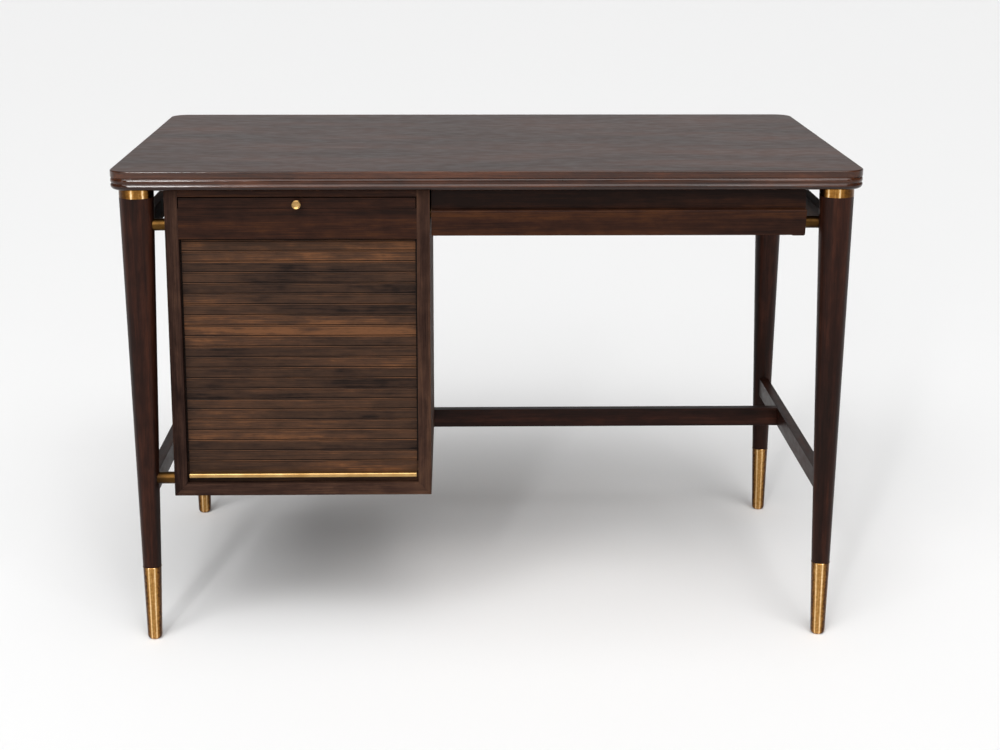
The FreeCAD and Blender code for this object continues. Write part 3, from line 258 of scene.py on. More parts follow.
# %% Walnut
MOTTLE_MM = (28, 12)
STREAK_MM = (70, 1.3)
PORE_MM = (8, 0.6)
PORE_DEPTH_MM = 0.08
WEIGHTS = {"bands": 0.52, "mottle": 0.18, "streaks": 0.3}
FIGURE_LOW, FIGURE_HIGH = 0.38, 0.62
PORE_LOW, PORE_HIGH, PORE_SHADE = 0.3, 0.46, 0.7
MOTTLE_LOW, MOTTLE_HIGH, POLISH_SPREAD = 0.3, 0.7, 0.05


def walnut(name, grain, stain, roughness, band_mm, **constants):
    """Stained walnut with its grain along X, Y or Z. The stain is a list of hex codes, dark first."""
    material, tree, shader = new_material(name, IOR=1.5, **constants)
    along = grain_coordinates(tree, grain)
    sizes = {"bands": (band_mm, 3), "mottle": (MOTTLE_MM, 2), "streaks": (STREAK_MM, 3)}
    marks = {kind: grain_noise(tree, along, *size) for kind, size in sizes.items()}
    pores = grain_noise(tree, along, PORE_MM, 2)
    tone = add_node(tree, "ShaderNodeAttribute", attribute_name="tone").outputs["Fac"]
    figure = weighted_sum(tree, tone, [(marks[kind], WEIGHTS[kind]) for kind in marks])
    spread = add_node(tree, "ShaderNodeMapRange",
                      {"Value": figure, "From Min": FIGURE_LOW, "From Max": FIGURE_HIGH})
    last = len(stain) - 1
    colour = add_node(tree, "ShaderNodeValToRGB", {"Fac": spread.outputs["Result"]},
                      [(index / last, code) for index, code in enumerate(stain)])
    open_pores = add_node(tree, "ShaderNodeMapRange",
                          {"Value": pores, "From Min": PORE_LOW, "From Max": PORE_HIGH,
                           "To Min": PORE_SHADE, "To Max": 1.0})
    darkened = add_node(tree, "ShaderNodeVectorMath",
                        {0: colour.outputs["Color"], "Scale": open_pores.outputs["Result"]},
                        operation="SCALE")
    tree.links.new(darkened.outputs["Vector"], shader.inputs["Base Color"])
    polish = add_node(tree, "ShaderNodeMapRange",
                      {"Value": marks["mottle"], "From Min": MOTTLE_LOW, "From Max": MOTTLE_HIGH,
                       "To Min": roughness - POLISH_SPREAD, "To Max": roughness + POLISH_SPREAD})
    tree.links.new(polish.outputs["Result"], shader.inputs["Roughness"])
    relief = add_node(tree, "ShaderNodeBump",
                      {"Height": pores, "Strength": 0.3, "Distance": PORE_DEPTH_MM * MM})
    tree.links.new(relief.outputs["Normal"], shader.inputs["Normal"])
    return material


# %% [markdown]
# ## One finish for each kind of board
#
# The same species takes stain differently by part. The writing top has been rubbed to a greyish
# satin, its moulding keeps the gloss of the lacquer, and the turned legs are the darkest. The case
# is warmer and its sides are duller, and the tambour slats are the most uneven because every strip
# comes from another board. Insides of drawers are left bare and waxed. Each finish is a name, its
# stain from dark to light, a roughness, a specular level and the size of its bands.

# %% Wood finishes
FINISHES = {
    "top": ("rubbed walnut top", ["#28160F", "#381F16", "#4A2B1E"], 0.36, 0.42, (260, 70)),
    "edge": ("lacquered walnut edge", ["#25120A", "#3A1E10", "#522D1A"], 0.1, 0.34, (240, 12)),
    "leg": ("turned walnut leg", ["#170B07", "#25120C", "#381D13"], 0.36, 0.1, (300, 14)),
    "case": ("walnut case", ["#1A0D08", "#2D180F", "#432613"], 0.4, 0.08, (380, 26)),
    "side": ("walnut case side", ["#1D120F", "#36251E", "#4D3629"], 0.62, 0.03, (380, 20)),
    "slat": ("tambour walnut", ["#19100C", "#2C1E17", "#33231A", "#3A281D", "#412C20", "#4B3222",
                                "#624029"], 0.34, 0.09, (300, 45)),
    "inside": ("waxed drawer wood", ["#8A623C", "#A97B4D", "#C29867"], 0.55, 0.3, (300, 20)),
}
WOOD = {}


def wood(finish, grain):
    """The material for a finish and a grain direction, made once and then shared."""
    if (finish, grain) not in WOOD:
        word, stain, roughness, gloss, band_mm = FINISHES[finish]
        WOOD[finish, grain] = walnut(f"{word}, grain {grain}", grain, stain, roughness, band_mm,
                                     Specular_IOR_Level=gloss)
    return WOOD[finish, grain]


print("wood finishes:", ", ".join(FINISHES))

# %% [markdown]
# ## Brass and steel
#
# Metal has no colour of its own under the shine: base colour is the tint of the reflection. Brass
# starts as pale gold, which shows on the pull and the knob that hands keep bright. The shelf's
# pins and the pull's screws have mellowed, and the spacers, which nobody polishes, are brown with
# tarnish. A slow cloud of tarnish makes some parts browner and duller. Rub marks give a slight
# relief. Real ones are much finer than half a millimetre, but that is as fine as shows.

# %% Metals
RUB_MM, RUB_DEPTH_MM = 0.5, 0.01
TARNISH_MM = 35
TARNISH_LOW, TARNISH_HIGH, TARNISH_DULLS = 0.35, 0.65, 0.08


def rubbed_metal(name, colours, roughness):
    """Metal with a slow cloud of tarnish between two colours, and fine rub marks."""
    material, tree, shader = new_material(name, Metallic=1.0)
    place = add_node(tree, "ShaderNodeTexCoord").outputs["Object"]
    cloud = add_node(tree, "ShaderNodeTexNoise",
                     {"Vector": place, "Scale": 1 / (TARNISH_MM * MM), "Detail": 4.0})
    tint = add_node(tree, "ShaderNodeValToRGB", {"Fac": cloud.outputs["Fac"]},
                    [(TARNISH_LOW, colours[0]), (TARNISH_HIGH, colours[1])])
    tree.links.new(tint.outputs["Color"], shader.inputs["Base Color"])
    dull = add_node(tree, "ShaderNodeMapRange",
                    {"Value": cloud.outputs["Fac"], "From Min": TARNISH_LOW,
                     "From Max": TARNISH_HIGH, "To Min": roughness + TARNISH_DULLS,
                     "To Max": roughness})
    tree.links.new(dull.outputs["Result"], shader.inputs["Roughness"])
    rub = add_node(tree, "ShaderNodeTexNoise",
                   {"Vector": place, "Scale": 1 / (RUB_MM * MM), "Detail": 3.0})
    relief = add_node(tree, "ShaderNodeBump",
                      {"Height": rub.outputs["Fac"], "Strength": 0.1,
                       "Distance": RUB_DEPTH_MM * MM})
    tree.links.new(relief.outputs["Normal"], shader.inputs["Normal"])
    return material


METAL = {
    "bright": rubbed_metal("hand polished brass", ["#A5804D", "#C6A26B"], 0.32),
    "mellow": rubbed_metal("mellow brass", ["#70502A", "#8B673B"], 0.2),
    "tarnished": rubbed_metal("tarnished brass", ["#332210", "#5A3F1D"], 0.36),
    "steel": rubbed_metal("plain screw steel", ["#8B8984", "#A9A7A2"], 0.35),
}
print("metals:", ", ".join(METAL))

# %% [markdown]
# ## Boards with eased edges
#
# A cabinet maker takes the sharpness off every arris with a few strokes of fine paper, and that
# half millimetre is what catches the light along an edge. The CAD boards have knife edges, so each
# one is copied, its loose triangles are merged, its flats are cleaned up, and its long sharp edges
# are bevelled. The copy then stands for the CAD node.

# %% Ease the edges of a copy
ARRIS_MM = 0.6
MERGE_MM = 0.005
SHORT_EDGE_MM = 4
FLAT, SHARP = math.radians(0.5), math.radians(40)


def eased_copy(node, arris_mm=ARRIS_MM):
    """A new piece from a CAD node: triangles merged, long sharp edges bevelled."""
    piece = bpy.data.objects.new(node + "_finished", nodes[node].data.copy())
    bpy.context.scene.collection.objects.link(piece)
    edit(piece)
    bpy.ops.mesh.customdata_custom_splitnormals_clear()
    bpy.ops.mesh.remove_doubles(threshold=MERGE_MM * MM)
    bpy.ops.mesh.dissolve_limited(angle_limit=FLAT)
    picked = pick(piece, "edges", lambda e: len(e.link_faces) == 2
                  and e.calc_face_angle() > SHARP and e.calc_length() > SHORT_EDGE_MM * MM)
    bpy.ops.mesh.bevel(offset=arris_mm * MM, segments=2, affect="EDGES", clamp_overlap=True)
    finish_edit()
    smooth(piece, BOARD_ANGLE)
    print(node, "edges eased:", picked, "faces:", len(piece.data.polygons))
    return piece


# %% [markdown]
# ## Every board in its finish
#
# Grain runs the long way of a board, because wood is strong that way: across the desk in the top
# and the drawer front, front to back in the side rails, upright in the legs and the case sides.
# The edge of the writing slide and the rail below it were cut from one board, so they share its
# number and their joint hardly shows. Their arrises are eased less for the same reason. The
# moulding shares the number of the top that it is glued to. The left side of the case is given a
# darker tone than the right one.

# %% Boards by finish and grain
BOARDS = {
    ("top", "X"): ["tabletop"],
    ("edge", "X"): ["top_edge_moulding"],
    ("leg", "X"): ["cross_stretcher"],
    ("leg", "Y"): ["side_stretcher_left", "side_stretcher_right"],
    ("leg", "Z"): ["leg_front_left", "leg_front_right", "leg_rear_left", "leg_rear_right"],
    ("case", "X"): ["pedestal_top", "front_rail", "shelf", "drawer_case_back", "writing_slide",
                    "slide_edge", "drawer_front"],
    ("case", "Y"): ["drawer_case_end"],
    ("side", "X"): ["pedestal_bottom"],
    ("side", "Y"): ["side_rail_left", "side_rail_right"],
    ("side", "Z"): ["pedestal_side_left", "pedestal_side_right", "pedestal_back"],
    ("slat", "X"): ["tambour_lead_rail"],
    ("inside", "X"): ["drawer_back", "drawer_bottom", "slide_stop_pins"],
    ("inside", "Y"): ["drawer_side_left", "drawer_side_right", "slide_runner_left",
                      "slide_runner_right", "drawer_runner_left", "drawer_runner_right"],
}
LIGHTLY_EASED_MM = {"slide_edge": 0.2, "front_rail": 0.2, "top_edge_moulding": 0.3}
SIDE_TONES = {"pedestal_side_left": -0.08, "pedestal_side_right": 0.03}
SEED, NUMBERS = 5, (2, 40)
draw = random.Random(SEED)
board_number = {name: draw.uniform(*NUMBERS) for names in BOARDS.values() for name in names}
board_number["slide_edge"] = board_number["front_rail"]
board_number["top_edge_moulding"] = board_number["tabletop"]

for (finish, grain), names in BOARDS.items():
    for name in names:
        board = eased_copy(name, LIGHTLY_EASED_MM.get(name, ARRIS_MM))
        paint_number(board, "board", board_number[name])
        if name in SIDE_TONES:
            paint_number(board, "tone", SIDE_TONES[name])
        slot = nodes[name].data.materials[0].name
        dress(board, wood(finish, grain), nodes[name]["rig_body"], slot, name)

# %% [markdown]
# ## Mitred corners
#
# The moulding is run in long lengths and mitred, so at the two ends of the desk its grain goes
# front to back. The copy is cut through by the plane of each mitre, which leaves its shape as it
# was, and the faces that lie nearer to an end than to the front or back get the other grain. The
# flat on top was rubbed down together with the writing surface, so it gets that finish.

# %% Mitre the moulding
TOP_HALF_MM = (571.5, 336.5)
FLAT_FROM_MM = 761.9


def saw(point_mm, normal):
    """Cut the mesh in edit mode by a plane, which adds a line of edges and removes nothing."""
    bpy.ops.mesh.select_all(action="SELECT")
    bpy.ops.mesh.bisect(plane_co=Vector(point_mm) * MM, plane_no=normal)


def at_the_ends(face):
    x, y, _ = face.calc_center_median() / MM
    return TOP_HALF_MM[0] - abs(x) < TOP_HALF_MM[1] - abs(y)


def on_the_flat(face):
    return face.calc_center_median().z > FLAT_FROM_MM * MM


moulding = bpy.data.objects["top_edge_moulding_finished"]
moulding.data.materials.append(wood("edge", "Y"))
moulding.data.materials.append(wood("top", "X"))
edit(moulding, "FACE")
bpy.ops.mesh.customdata_custom_splitnormals_clear()
for side in (-1, 1):
    for end in (-1, 1):
        saw((side * TOP_HALF_MM[0], end * TOP_HALF_MM[1], 0), (end, -side, 0))
for index, wanted in enumerate((at_the_ends, on_the_flat), start=1):
    moulding.active_material_index = index
    picked = pick(moulding, "faces", wanted)
    bpy.ops.object.material_slot_assign()
    print("moulding faces in", moulding.data.materials[index].name, picked)
finish_edit()
smooth(moulding, BOARD_ANGLE)

# %% [markdown]
# ## Painted shade in the recess and under the moulding
#
# Shade is painted where light is kept off: in the recess along the top of the drawer front,
# which the desk top overhangs, and on the underside of the moulding. The recess is painted from a
# light tone at its lip up to a dark one under the top, and the moulding gets a dark tone on its
# lowest points, which fades out over the next faces.

# %% Painted shade in recesses
RECESS_MM = (699, 729)
RECESS_SHADE_TONES = (0.12, -0.14)
RECESS_FRONT_MM, RECESS_SLACK = -306, -0.01
UNDERSIDE_MM, UNDERSIDE_SHADE_TONE = 738, -0.16


# Painted shade: behind the lip the recess goes from lighter at the lip to darker under the top.
def painted_recess_shade(place):
    low, high = RECESS_MM
    rise = (place.z - low) / (high - low)
    inside = rise > RECESS_SLACK and place.y > RECESS_FRONT_MM
    return RECESS_SHADE_TONES[0] + rise * (RECESS_SHADE_TONES[1] - RECESS_SHADE_TONES[0]) if inside else 0.0


# Painted shade on the lowest points of the moulding, fading over the next faces.
def painted_underside_shade(place):
    return UNDERSIDE_SHADE_TONE if place.z < UNDERSIDE_MM else 0.0


paint_by_place(bpy.data.objects["drawer_front_finished"], "tone", painted_recess_shade)
paint_by_place(moulding, "tone", painted_underside_shade)
print("painted darker: the drawer front's recess and the moulding's underside")

# %% [markdown]
# ## The tambour curtain
#
# A tambour is a row of hardwood strips glued to canvas. Each strip here has a flat face, a sunk
# quirk and a fine bead along its lower edge, and a thinner tongue at each end that runs in the
# track. One strip is made with the steps of the bench: a bar, its tongues, the quirk sunk with an
# inward extrude, and the bead rounded over with a bevel. The rest are copies of it.

# %% The bar that a slat is cut from
SLAT_COUNT = 22
SLAT_PITCH_MM = 16.795
SLAT_GAP_MM = 0.4
SLAT_BASE_MM = 296.3
SLAT_FACE_MM, SLAT_BACK_MM = -304.5, -296.5
SHOULDERS_MM = (-468.5, -111.5)


def block(name, low, high):
    """A bar between two corners given in millimetres."""
    bpy.ops.object.select_all(action="DESELECT")
    centre = [(a + b) / 2 * MM for a, b in zip(low, high)]
    bpy.ops.mesh.primitive_cube_add(size=1, location=centre)
    bar = bpy.context.active_object
    bar.name = name
    bar.scale = [(b - a) * MM for a, b in zip(low, high)]
    bpy.ops.object.transform_apply(location=True, rotation=True, scale=True)
    return bar


slat_low = SLAT_BASE_MM + SLAT_GAP_MM / 2
slat_high = SLAT_BASE_MM + SLAT_PITCH_MM - SLAT_GAP_MM / 2
slat = block("slat", (SHOULDERS_MM[0], SLAT_FACE_MM, slat_low),
             (SHOULDERS_MM[1], SLAT_BACK_MM, slat_high))
print("bar from", round(slat_low, 3), "to", round(slat_high, 3), "mm above the floor")

# %% Cut its tongues and quirk
TONGUE_MM = 8.2
TONGUE_THICKNESS_MM = 4.5
BEAD_MM = 2.0
QUIRK_MM = 1.3
QUIRK_DEPTH_MM = 1.8
TOUCH_MM = 0.01


def near(value, target_mm):
    return abs(value - target_mm * MM) < TOUCH_MM * MM


def push(x=0, y=0, z=0):
    """Extrude the selected faces by a distance in millimetres."""
    bpy.ops.mesh.extrude_region_move(TRANSFORM_OT_translate={"value": (x * MM, y * MM, z * MM)})


bead_top = slat_low + BEAD_MM
quirk_top = bead_top + QUIRK_MM
edit(slat, "FACE")
for shoulder, outwards in zip(SHOULDERS_MM, (-1, 1)):
    pick(slat, "faces", lambda f: near(f.calc_center_median().x, shoulder))
    push()
    bpy.ops.transform.resize(value=(1, TONGUE_THICKNESS_MM / (SLAT_BACK_MM - SLAT_FACE_MM), 1))
    push(x=outwards * TONGUE_MM)
saw((0, 0, bead_top), (0, 0, 1))
saw((0, 0, quirk_top), (0, 0, 1))
pick(slat, "faces", lambda f: near(f.calc_center_median().y, SLAT_FACE_MM)
     and near(f.calc_center_median().z, (bead_top + quirk_top) / 2))
push(y=QUIRK_DEPTH_MM)
print("slat with tongues and quirk:", len(bmesh.from_edit_mesh(slat.data).faces), "faces")

# %% Round the bead
BEAD_ROUND_MM = 0.85
FIELD_EASE_MM = 0.6
LONG_EDGE_MM = 100


def edge_middle(edge):
    return (edge.verts[0].co + edge.verts[1].co) / 2


def front_edge_at(height_mm):
    """A question for pick: is this a long edge on the slat's face at that height?"""
    return lambda e: (near(edge_middle(e).z, height_mm) and near(edge_middle(e).y, SLAT_FACE_MM)
                      and e.calc_length() > LONG_EDGE_MM * MM)


for height, radius in ((slat_low, BEAD_ROUND_MM), (bead_top, BEAD_ROUND_MM),
                       (quirk_top, FIELD_EASE_MM), (slat_high, FIELD_EASE_MM)):
    bpy.ops.mesh.select_mode(type="EDGE")
    pick(slat, "edges", front_edge_at(height))
    bpy.ops.mesh.bevel(offset=radius * MM, segments=3, affect="EDGES")
bpy.ops.mesh.select_all(action="SELECT")
bpy.ops.mesh.normals_make_consistent(inside=False)
finish_edit()
smooth(slat, ROUND_ANGLE)
print("slat with rounded bead:", len(slat.data.polygons), "faces")

# %% Painted highlight and shade on the slat
# Painted highlight on the rounded bead and field edges, painted shade in the quirk and the gap.
EDGE_HIGHLIGHT, QUIRK_SHADE = 0.12, -0.3
SHADED_FROM_MM = 0.95 * QUIRK_DEPTH_MM
MARGIN_MM = 0.02


def on_rounding(depth, below, radius):
    """Is a point so deep behind the face, and so far below a rounding's top, on the rounding?"""
    return all(MARGIN_MM < distance < radius - MARGIN_MM for distance in (depth, below))


def slat_tone(place):
    """Painted highlight on the roundings of bead and field, painted shade in the quirk and the gap.
    """
    depth = place.y - SLAT_FACE_MM
    if depth > SHADED_FROM_MM:
        return QUIRK_SHADE
    lit_rounding = (on_rounding(depth, bead_top - place.z, BEAD_ROUND_MM)
            or on_rounding(depth, slat_high - place.z, FIELD_EASE_MM))
    return EDGE_HIGHLIGHT if lit_rounding else 0.0


paint_by_place(slat, "tone", slat_tone)
tones = {round(point.value, 2) for point in slat.data.attributes["tone"].data}
print("tones on the slat:", sorted(tones))

# %% [markdown]
# ## Hang the slats
#
# The strips are copied up the curtain, each copy with its own mesh. The last has already turned
# into the bend of the track. Stain takes differently on every board, so each copy gets a tone of
# its own, drawn at random with a fixed seed so that the curtain is the same each time. The last
# two are the lightest, since they came from the palest board. Then all are joined to one piece,
# with their canvas behind them as another.

# %% Copy, tone and join
BEND_CENTRE_MM = (-290, -270.5, 654)
BEND_TURN = math.radians(6.5)
TONE_SPREAD = 0.04
LIGHT_SLATS, LIGHT_TONE = (SLAT_COUNT - 2, SLAT_COUNT - 1), 0.08
strips = []
for index in range(SLAT_COUNT):
    strip = slat.copy()
    strip.data = slat.data.copy()
    bpy.context.scene.collection.objects.link(strip)
    rise = index * SLAT_PITCH_MM
    turn = Matrix.Identity(4)
    if index == SLAT_COUNT - 1:
        rise = BEND_CENTRE_MM[2] - (slat_low + slat_high) / 2
        pivot = Vector(BEND_CENTRE_MM) * MM
        turn = (Matrix.Translation(pivot) @ Matrix.Rotation(-BEND_TURN, 4, "X")
                @ Matrix.Translation(-pivot))
    strip.data.transform(turn @ Matrix.Translation((0, 0, rise * MM)))
    paint_number(strip, "board", draw.uniform(*NUMBERS))
    tone = draw.uniform(-TONE_SPREAD, TONE_SPREAD)
    if index in LIGHT_SLATS:
        tone = LIGHT_TONE
    for point in strip.data.attributes["tone"].data:
        point.value += tone
    strips.append(strip)
bpy.data.objects.remove(slat)
curtain = strips[0]
select_only(curtain)
for strip in strips:
    strip.select_set(True)
bpy.ops.object.join()
curtain.name = "tambour_curtain"
dress(curtain, wood("slat", "X"), "desk", "slat_wood", "tambour_slats")

# %% [markdown]
# ## Canvas
#
# The canvas that holds the strips together is a plain weave: threads go over and under each other
# at right angles, about one a millimetre. Two crossed waves give the weave its relief, and each
# wave takes two threads, one over and one under. The canvas is a single piece of cloth, glued
# across the backs of the strips.

# %% Canvas behind the slats
THREAD_MM, WEAVE_DEPTH_MM = 1.1, 0.3
WEAVE_LOW, WEAVE_HIGH = 0.1, 0.6
WAVE_LENGTH = math.tau / 20


def woven(name, colours):
    """Plain woven canvas hanging in the XZ plane. A wave at scale 1 is WAVE_LENGTH long."""
    material, tree, shader = new_material(name, Roughness=0.9, IOR=1.45)
    place = add_node(tree, "ShaderNodeTexCoord").outputs["Object"]
    threads = []
    for axis in ("X", "Z"):
        wave = add_node(tree, "ShaderNodeTexWave",
                        {"Vector": place, "Scale": WAVE_LENGTH / (2 * THREAD_MM * MM),
                         "Distortion": 0.6, "Detail": 2.0},
                        wave_type="BANDS", bands_direction=axis)
        threads.append(wave.outputs["Fac"])
    weave = add_node(tree, "ShaderNodeMath", {0: threads[0], 1: threads[1]},
                     operation="MULTIPLY").outputs["Value"]
    shade = add_node(tree, "ShaderNodeValToRGB", {"Fac": weave},
                     [(WEAVE_LOW, colours[0]), (WEAVE_HIGH, colours[1])])
    tree.links.new(shade.outputs["Color"], shader.inputs["Base Color"])
    relief = add_node(tree, "ShaderNodeBump",
                      {"Height": weave, "Strength": 0.6, "Distance": WEAVE_DEPTH_MM * MM})
    tree.links.new(relief.outputs["Normal"], shader.inputs["Normal"])
    return material


canvas = eased_copy("tambour_canvas", arris_mm=0.15)
dress(canvas, woven("linen canvas", ["#6E5C40", "#A89472"]), "desk", "canvas", "tambour_canvas")

# %% [markdown]
# ## How the curtain goes up
#
# On the real desk the strips follow the track round a bend and slide away behind the case. The
# frame moves only the lead rail, so the curtain and its canvas stay where they hang, and each only
# gets a mesh of its own.

# %% A mesh of their own
for soft in (curtain, canvas):
    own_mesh(soft)

# %% [markdown]
# ## Turned brass
#
# Everything round on the desk comes off a lathe, and the same way works here. A disc is extruded
# ring by ring along the axis, and each new ring is scaled to its radius, so a list of heights and
# radii is the whole drawing of the piece.

# %% The lathe
LATHE_SIDES = 96
LATHE_TURN = {"Z": Matrix.Identity(4), "-Y": Matrix.Rotation(math.pi / 2, 4, "X")}


def on_the_lathe(name, foot_mm, rings, axis="Z"):
    """Turn a solid from (height, radius) rings in millimetres, starting at a foot point."""
    bpy.ops.object.select_all(action="DESELECT")
    bpy.ops.mesh.primitive_circle_add(vertices=LATHE_SIDES, radius=rings[0][1] * MM,
                                      fill_type="NGON", location=(0, 0, rings[0][0] * MM))
    piece = bpy.context.active_object
    piece.name = name
    bpy.ops.object.transform_apply(location=True, rotation=True, scale=True)
    edit(piece, "FACE")
    for (height, radius), (next_height, next_radius) in zip(rings, rings[1:]):
        push(z=next_height - height)
        grow = next_radius / radius
        bpy.ops.transform.resize(value=(grow, grow, 1))
    bpy.ops.mesh.select_all(action="SELECT")
    bpy.ops.mesh.normals_make_consistent(inside=False)
    finish_edit()
    piece.data.transform(Matrix.Translation(Vector(foot_mm) * MM) @ LATHE_TURN[axis])
    smooth(piece, ROUND_ANGLE)
    print(name, "faces:", len(piece.data.polygons))
    return piece


# %% [markdown]
# ## Sabots and collars
#
# The feet and collars are sheet brass raised over a stake. Their highlights are painted: three
# pairs of bright lines run up each piece, with a duller band inside each pair and darker between
# the pairs, painted round the axis of the leg, and noise adds scratches and dents. Their sum drives
# both the tint and a slight relief, so that the two agree. The profile of the painted highlight is
# a list of degrees from the middle of a pair, each with its brightness there.

# %% Hammered brass
SCRATCH_MM = (60, 1.6)
HAMMER_MM = 4
RIDGE_MM = 0.2
SKIN_SHARES = {"painted_highlight": 0.6, "scratches": 0.18, "dents": 0.22}
SABOT_TINTS_AND_HIGHLIGHTS = [(0.24, "#3C2413"), (0.34, "#7E552A"), (0.46, "#AC7E43"), (0.62, "#E0B273"),
               (0.78, "#FFE2B4")]
COLLAR_TINTS_AND_HIGHLIGHTS = [(0.2, "#452B14"), (0.32, "#65421C"), (0.46, "#845A28"), (0.62, "#C4934F"),
                (0.78, "#FFE2B4")]


def hammered_brass(name, stops, roughness):
    """Brass with scratches along Z and dents, and a painted highlight that lightens it and adds
    relief.
    """
    material, tree, shader = new_material(name, Metallic=1.0, Roughness=roughness)
    along = grain_coordinates(tree, "Z")
    marks = {"painted_highlight": add_node(tree, "ShaderNodeAttribute", attribute_name="painted_highlight").outputs["Fac"],
             "scratches": grain_noise(tree, along, SCRATCH_MM, 1),
             "dents": grain_noise(tree, along, (HAMMER_MM, HAMMER_MM), 1)}
    height = weighted_sum(tree, 0.0, [(marks[kind], SKIN_SHARES[kind]) for kind in marks])
    tint = add_node(tree, "ShaderNodeValToRGB", {"Fac": height}, stops)
    tree.links.new(tint.outputs["Color"], shader.inputs["Base Color"])
    relief = add_node(tree, "ShaderNodeBump",
                      {"Height": height, "Strength": 0.4, "Distance": RIDGE_MM * MM})
    tree.links.new(relief.outputs["Normal"], shader.inputs["Normal"])
    return material


HAMMERED = {
    "sabot": hammered_brass("hammered brass", SABOT_TINTS_AND_HIGHLIGHTS, 0.28),
    "collar": hammered_brass("mellowed hammered brass", COLLAR_TINTS_AND_HIGHLIGHTS, 0.24),
}
print("hammered:", ", ".join(HAMMERED))

# %% Painted highlight lines round a leg
HIGHLIGHT_PAIRS = 3
# Painted highlight: brightest 19.5 degrees either side of a pair's middle, duller inside, dark
# between pairs.
HIGHLIGHT_PROFILE = [(0, 0.42), (13, 0.45), (19.5, 1.0), (26, 0.42), (42, 0.16), (60, 0.08)]


def highlight_level(degrees):
    """The painted highlight at an angle from the middle of the nearest pair of lines, from 0 to 1."""
    for (start, low), (end, high) in zip(HIGHLIGHT_PROFILE, HIGHLIGHT_PROFILE[1:]):
        if degrees <= end:
            return low + (high - low) * (degrees - start) / (end - start)
    return HIGHLIGHT_PROFILE[-1][1]


def paint_highlight_lines(piece, axis_x, axis_y, turn):
    """Paint the highlight lines round an upright axis, the first pair turned from the front of the
    desk.
    """
    apart = 360 / HIGHLIGHT_PAIRS

    def highlight_at(place):
        angle = math.degrees(math.atan2(place.x - axis_x, axis_y - place.y)) - turn
        return highlight_level(abs((angle + apart / 2) % apart - apart / 2))

    paint_by_place(piece, "painted_highlight", highlight_at)


# %% [markdown]
# ## One sabot and one collar for each leg
#
# The sabots are turned afresh: the sole is rounded where it meets the floor, the rim is turned
# over a little, and the last rings go back down inside to the floor of the socket that takes the
# leg. The collars are plain rings that only need softer edges. Each corner has its side, its end,
# and the degrees that the painted highlight lines of its sabot and of its collar are turned, which
# sets where each pair shows from the front.

# %% Four sabots and four collars
LEG_X_MM, LEG_Y_MM = 534.5, 299.5
SABOT_RINGS_MM = [(0, 7.2), (0.7, 8.7), (1.8, 10.0), (3.4, 10.9), (5.6, 11.4), (8.4, 11.6),
                  (120.6, 14.45), (121.4, 14.9), (122.4, 15.0), (123, 14.6), (123, 13.0), (6, 9.86)]
FEET = {"front_left": (-1, -1, 4, 11), "front_right": (1, -1, -16, -20),
        "rear_left": (-1, 1, 8, 3), "rear_right": (1, 1, -10, -14)}

for number, (corner, (side, end, foot_turn, collar_turn)) in enumerate(FEET.items()):
    foot = (side * LEG_X_MM, end * LEG_Y_MM, 0)
    sabot = on_the_lathe(f"sabot_{corner}_hammered", foot, SABOT_RINGS_MM)
    collar = eased_copy(f"collar_{corner}", arris_mm=0.9)
    for part, made, turn in (("sabot", sabot, foot_turn), ("collar", collar, collar_turn)):
        # Painted highlight lines round the leg's axis, turned for this corner.
        paint_highlight_lines(made, foot[0], foot[1], turn)
        paint_number(made, "board", number)
        dress(made, HAMMERED[part], "desk", "brass", f"{part}_{corner}")

# %% [markdown]
# ## Spacers, knob and pull
#
# The spacers keep the edges the lathe tool left, eased with a stone, so eased copies of the CAD
# pieces will do. The knob is turned afresh: a slim neck, then a head with a raised rim round a
# shallow dish, which is what shows as a bright ring from the front. The pull is a drawn bar with a
# flat face and soft corners.

# %% Spacers
SPACERS = [name for name in nodes if name.startswith("spacer_")]
for name in SPACERS:
    dress(eased_copy(name, arris_mm=0.5), METAL["tarnished"], "desk", "brass", name)

# %% Knob and pull
KNOB_MM = (-290, -316.5, 710.4)
KNOB_RINGS_MM = [(0, 4.4), (0.5, 3.6), (1.4, 3.2), (11.2, 3.2), (12.4, 4.4), (12.9, 5.8),
                 (13.5, 6.5), (14.2, 6.8), (16.0, 6.8), (16.6, 6.6), (17.0, 6.0), (16.8, 5.4),
                 (16.2, 4.7), (15.8, 3.4), (15.7, 1.5)]
knob = on_the_lathe("slide_knob_turned", KNOB_MM, KNOB_RINGS_MM, "-Y")
dress(knob, METAL["bright"], "writing_slide", "brass", "slide_knob")
pull = eased_copy("tambour_pull", arris_mm=0.3)
dress(pull, METAL["bright"], "tambour", "brass", "tambour_pull")

# %% [markdown]
# ## What is left of the CAD nodes
#
# Screws and pins need no new shape: they sit in their holes and show a few square millimetres.
# They keep their CAD mesh and get the metal that their slot names.

# %% Screws and pins
for name, node in nodes.items():
    if not node.hide_render:
        slot = node.data.materials[0].name
        node.data.materials.clear()
        node.data.materials.append(METAL["steel" if slot == "screw_steel" else "mellow"])
        print("kept from the CAD:", name, "as", slot)

# %% [markdown]
# ## Camera
#
# The desk is seen from a little above and just left of its middle, from about three metres with a
# lens of moderate length, which keeps its legs nearly parallel. The lens is shifted down slightly
# so that the desk sits in the frame with some floor in front of it. The camera's three turns are
# in radians.

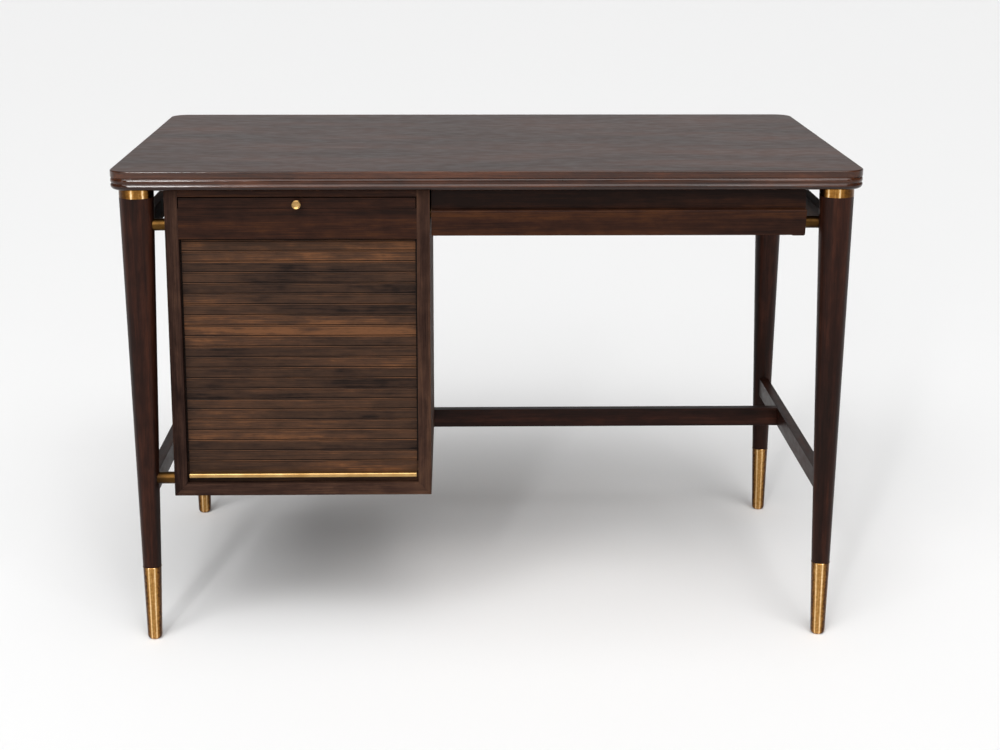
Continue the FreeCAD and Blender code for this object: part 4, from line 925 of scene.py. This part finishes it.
# %% Place the camera
CAMERA_PLACE_MM = (-48.560, -3053.123, 1192.967)
CAMERA_DOWN, CAMERA_RIGHT, CAMERA_ROLL = 0.227647, 0.024353, 0.002382
camera = bpy.data.objects.new("camera", bpy.data.cameras.new("camera"))
bpy.context.scene.collection.objects.link(camera)
bpy.context.scene.camera = camera
aim = Matrix.Rotation(-CAMERA_RIGHT, 4, "Z") @ Matrix.Rotation(math.pi / 2 - CAMERA_DOWN, 4, "X")
camera.matrix_world = (Matrix.Translation(Vector(CAMERA_PLACE_MM) * MM) @ aim
                       @ Matrix.Rotation(CAMERA_ROLL, 4, "Z"))
camera.data.lens = 65.80
camera.data.sensor_width = 36
camera.data.shift_y = -0.075
print("camera at", camera.location[:], "lens", camera.data.lens)

# %% [markdown]
# ## Floor and light
#
# A pale floor without edges fills the frame. A broad lamp hangs in front, above the camera, with
# narrower ones left and right of it and another broad one overhead, all so far off that their
# light is even. The case throws a wide soft shadow that is darkest where they overlap. Two tall
# softboxes at the sides and two narrow ones high behind the camera are there to be seen in the
# brass and in the lacquered moulding, where they draw bright lines; the brightest lines on the
# feet and collars are painted. The wall behind is bright and the room in front is dim, which lays a
# grey sheen on the top and keeps the fronts deep.

# %% Floor
FLOOR_SIZE = 80
bpy.ops.object.select_all(action="DESELECT")
bpy.ops.mesh.primitive_plane_add(size=FLOOR_SIZE)
floor = bpy.context.active_object
floor.name = "floor"
floor_paint, _, _ = new_material("matt white floor", Base_Color=linear("#EFEFEF"), Roughness=0.9,
                                 Specular_IOR_Level=0.0)
floor.data.materials.append(floor_paint)
print("floor", FLOOR_SIZE, "m wide")


# %% Lamps
def add_light(name, kind, energy):
    light = bpy.data.lights.new(name, kind)
    light.energy = energy
    item = bpy.data.objects.new(name, light)
    bpy.context.scene.collection.objects.link(item)
    return item


def far_lamp(name, energy, spread, height, side):
    """Even light from far off. In degrees: its width, its height, and its turn from the front."""
    item = add_light(name, "SUN", energy)
    item.data.angle = math.radians(spread)
    item.rotation_euler = (math.radians(90 - height), 0, math.radians(side))


def softbox(name, watts, size, place, target):
    """A flat soft light of a size in metres, aimed at a point."""
    item = add_light(name, "AREA", watts)
    item.data.shape = "RECTANGLE"
    item.data.size, item.data.size_y = size
    item.location = place
    item.rotation_euler = (Vector(target) - Vector(place)).to_track_quat("-Z", "Y").to_euler()


far_lamp("front_lamp", 1.6, 44, 47.5, -5)
far_lamp("left_lamp", 0.5, 24, 42, -36)
far_lamp("right_lamp", 0.44, 24, 46, 32)
far_lamp("top_lamp", 0.8, 40, 80, 0)
softbox("left_box", 22, (1.2, 2.4), (-4.5, -5.2, 1.3), (0, 0, 0.5))
softbox("right_box", 19, (1.2, 2.4), (4.3, -5.5, 1.3), (0, 0, 0.5))
softbox("left_strip", 112, (0.36, 2.4), (-1.58, -6.3, 3.05), (-1.4, 0, 0.7))
softbox("right_strip", 24, (0.56, 2.4), (1.6, -6.3, 3.05), (0, 0, 0.7))

# %% Walls of the studio
FRONT_STRENGTH, WALL_STRENGTH = 0.14, 0.45
WALL_FROM, WALL_TO = 0.3, 0.9
world = bpy.data.worlds.new("studio")
bpy.context.scene.world = world
world.use_nodes = True
tree = world.node_tree
way = add_node(tree, "ShaderNodeTexCoord").outputs["Generated"]
split = add_node(tree, "ShaderNodeSeparateXYZ", {"Vector": way})
behind = add_node(tree, "ShaderNodeMapRange",
                  {"Value": split.outputs["Y"], "From Min": WALL_FROM, "From Max": WALL_TO,
                   "To Min": FRONT_STRENGTH, "To Max": WALL_STRENGTH})
tree.links.new(behind.outputs["Result"], tree.nodes["Background"].inputs["Strength"])
tree.nodes["Background"].inputs["Color"].default_value = linear("#FFFFFF")
bpy.context.scene.view_settings.view_transform = "Standard"
print("studio walls:", FRONT_STRENGTH, "in front,", WALL_STRENGTH, "behind")
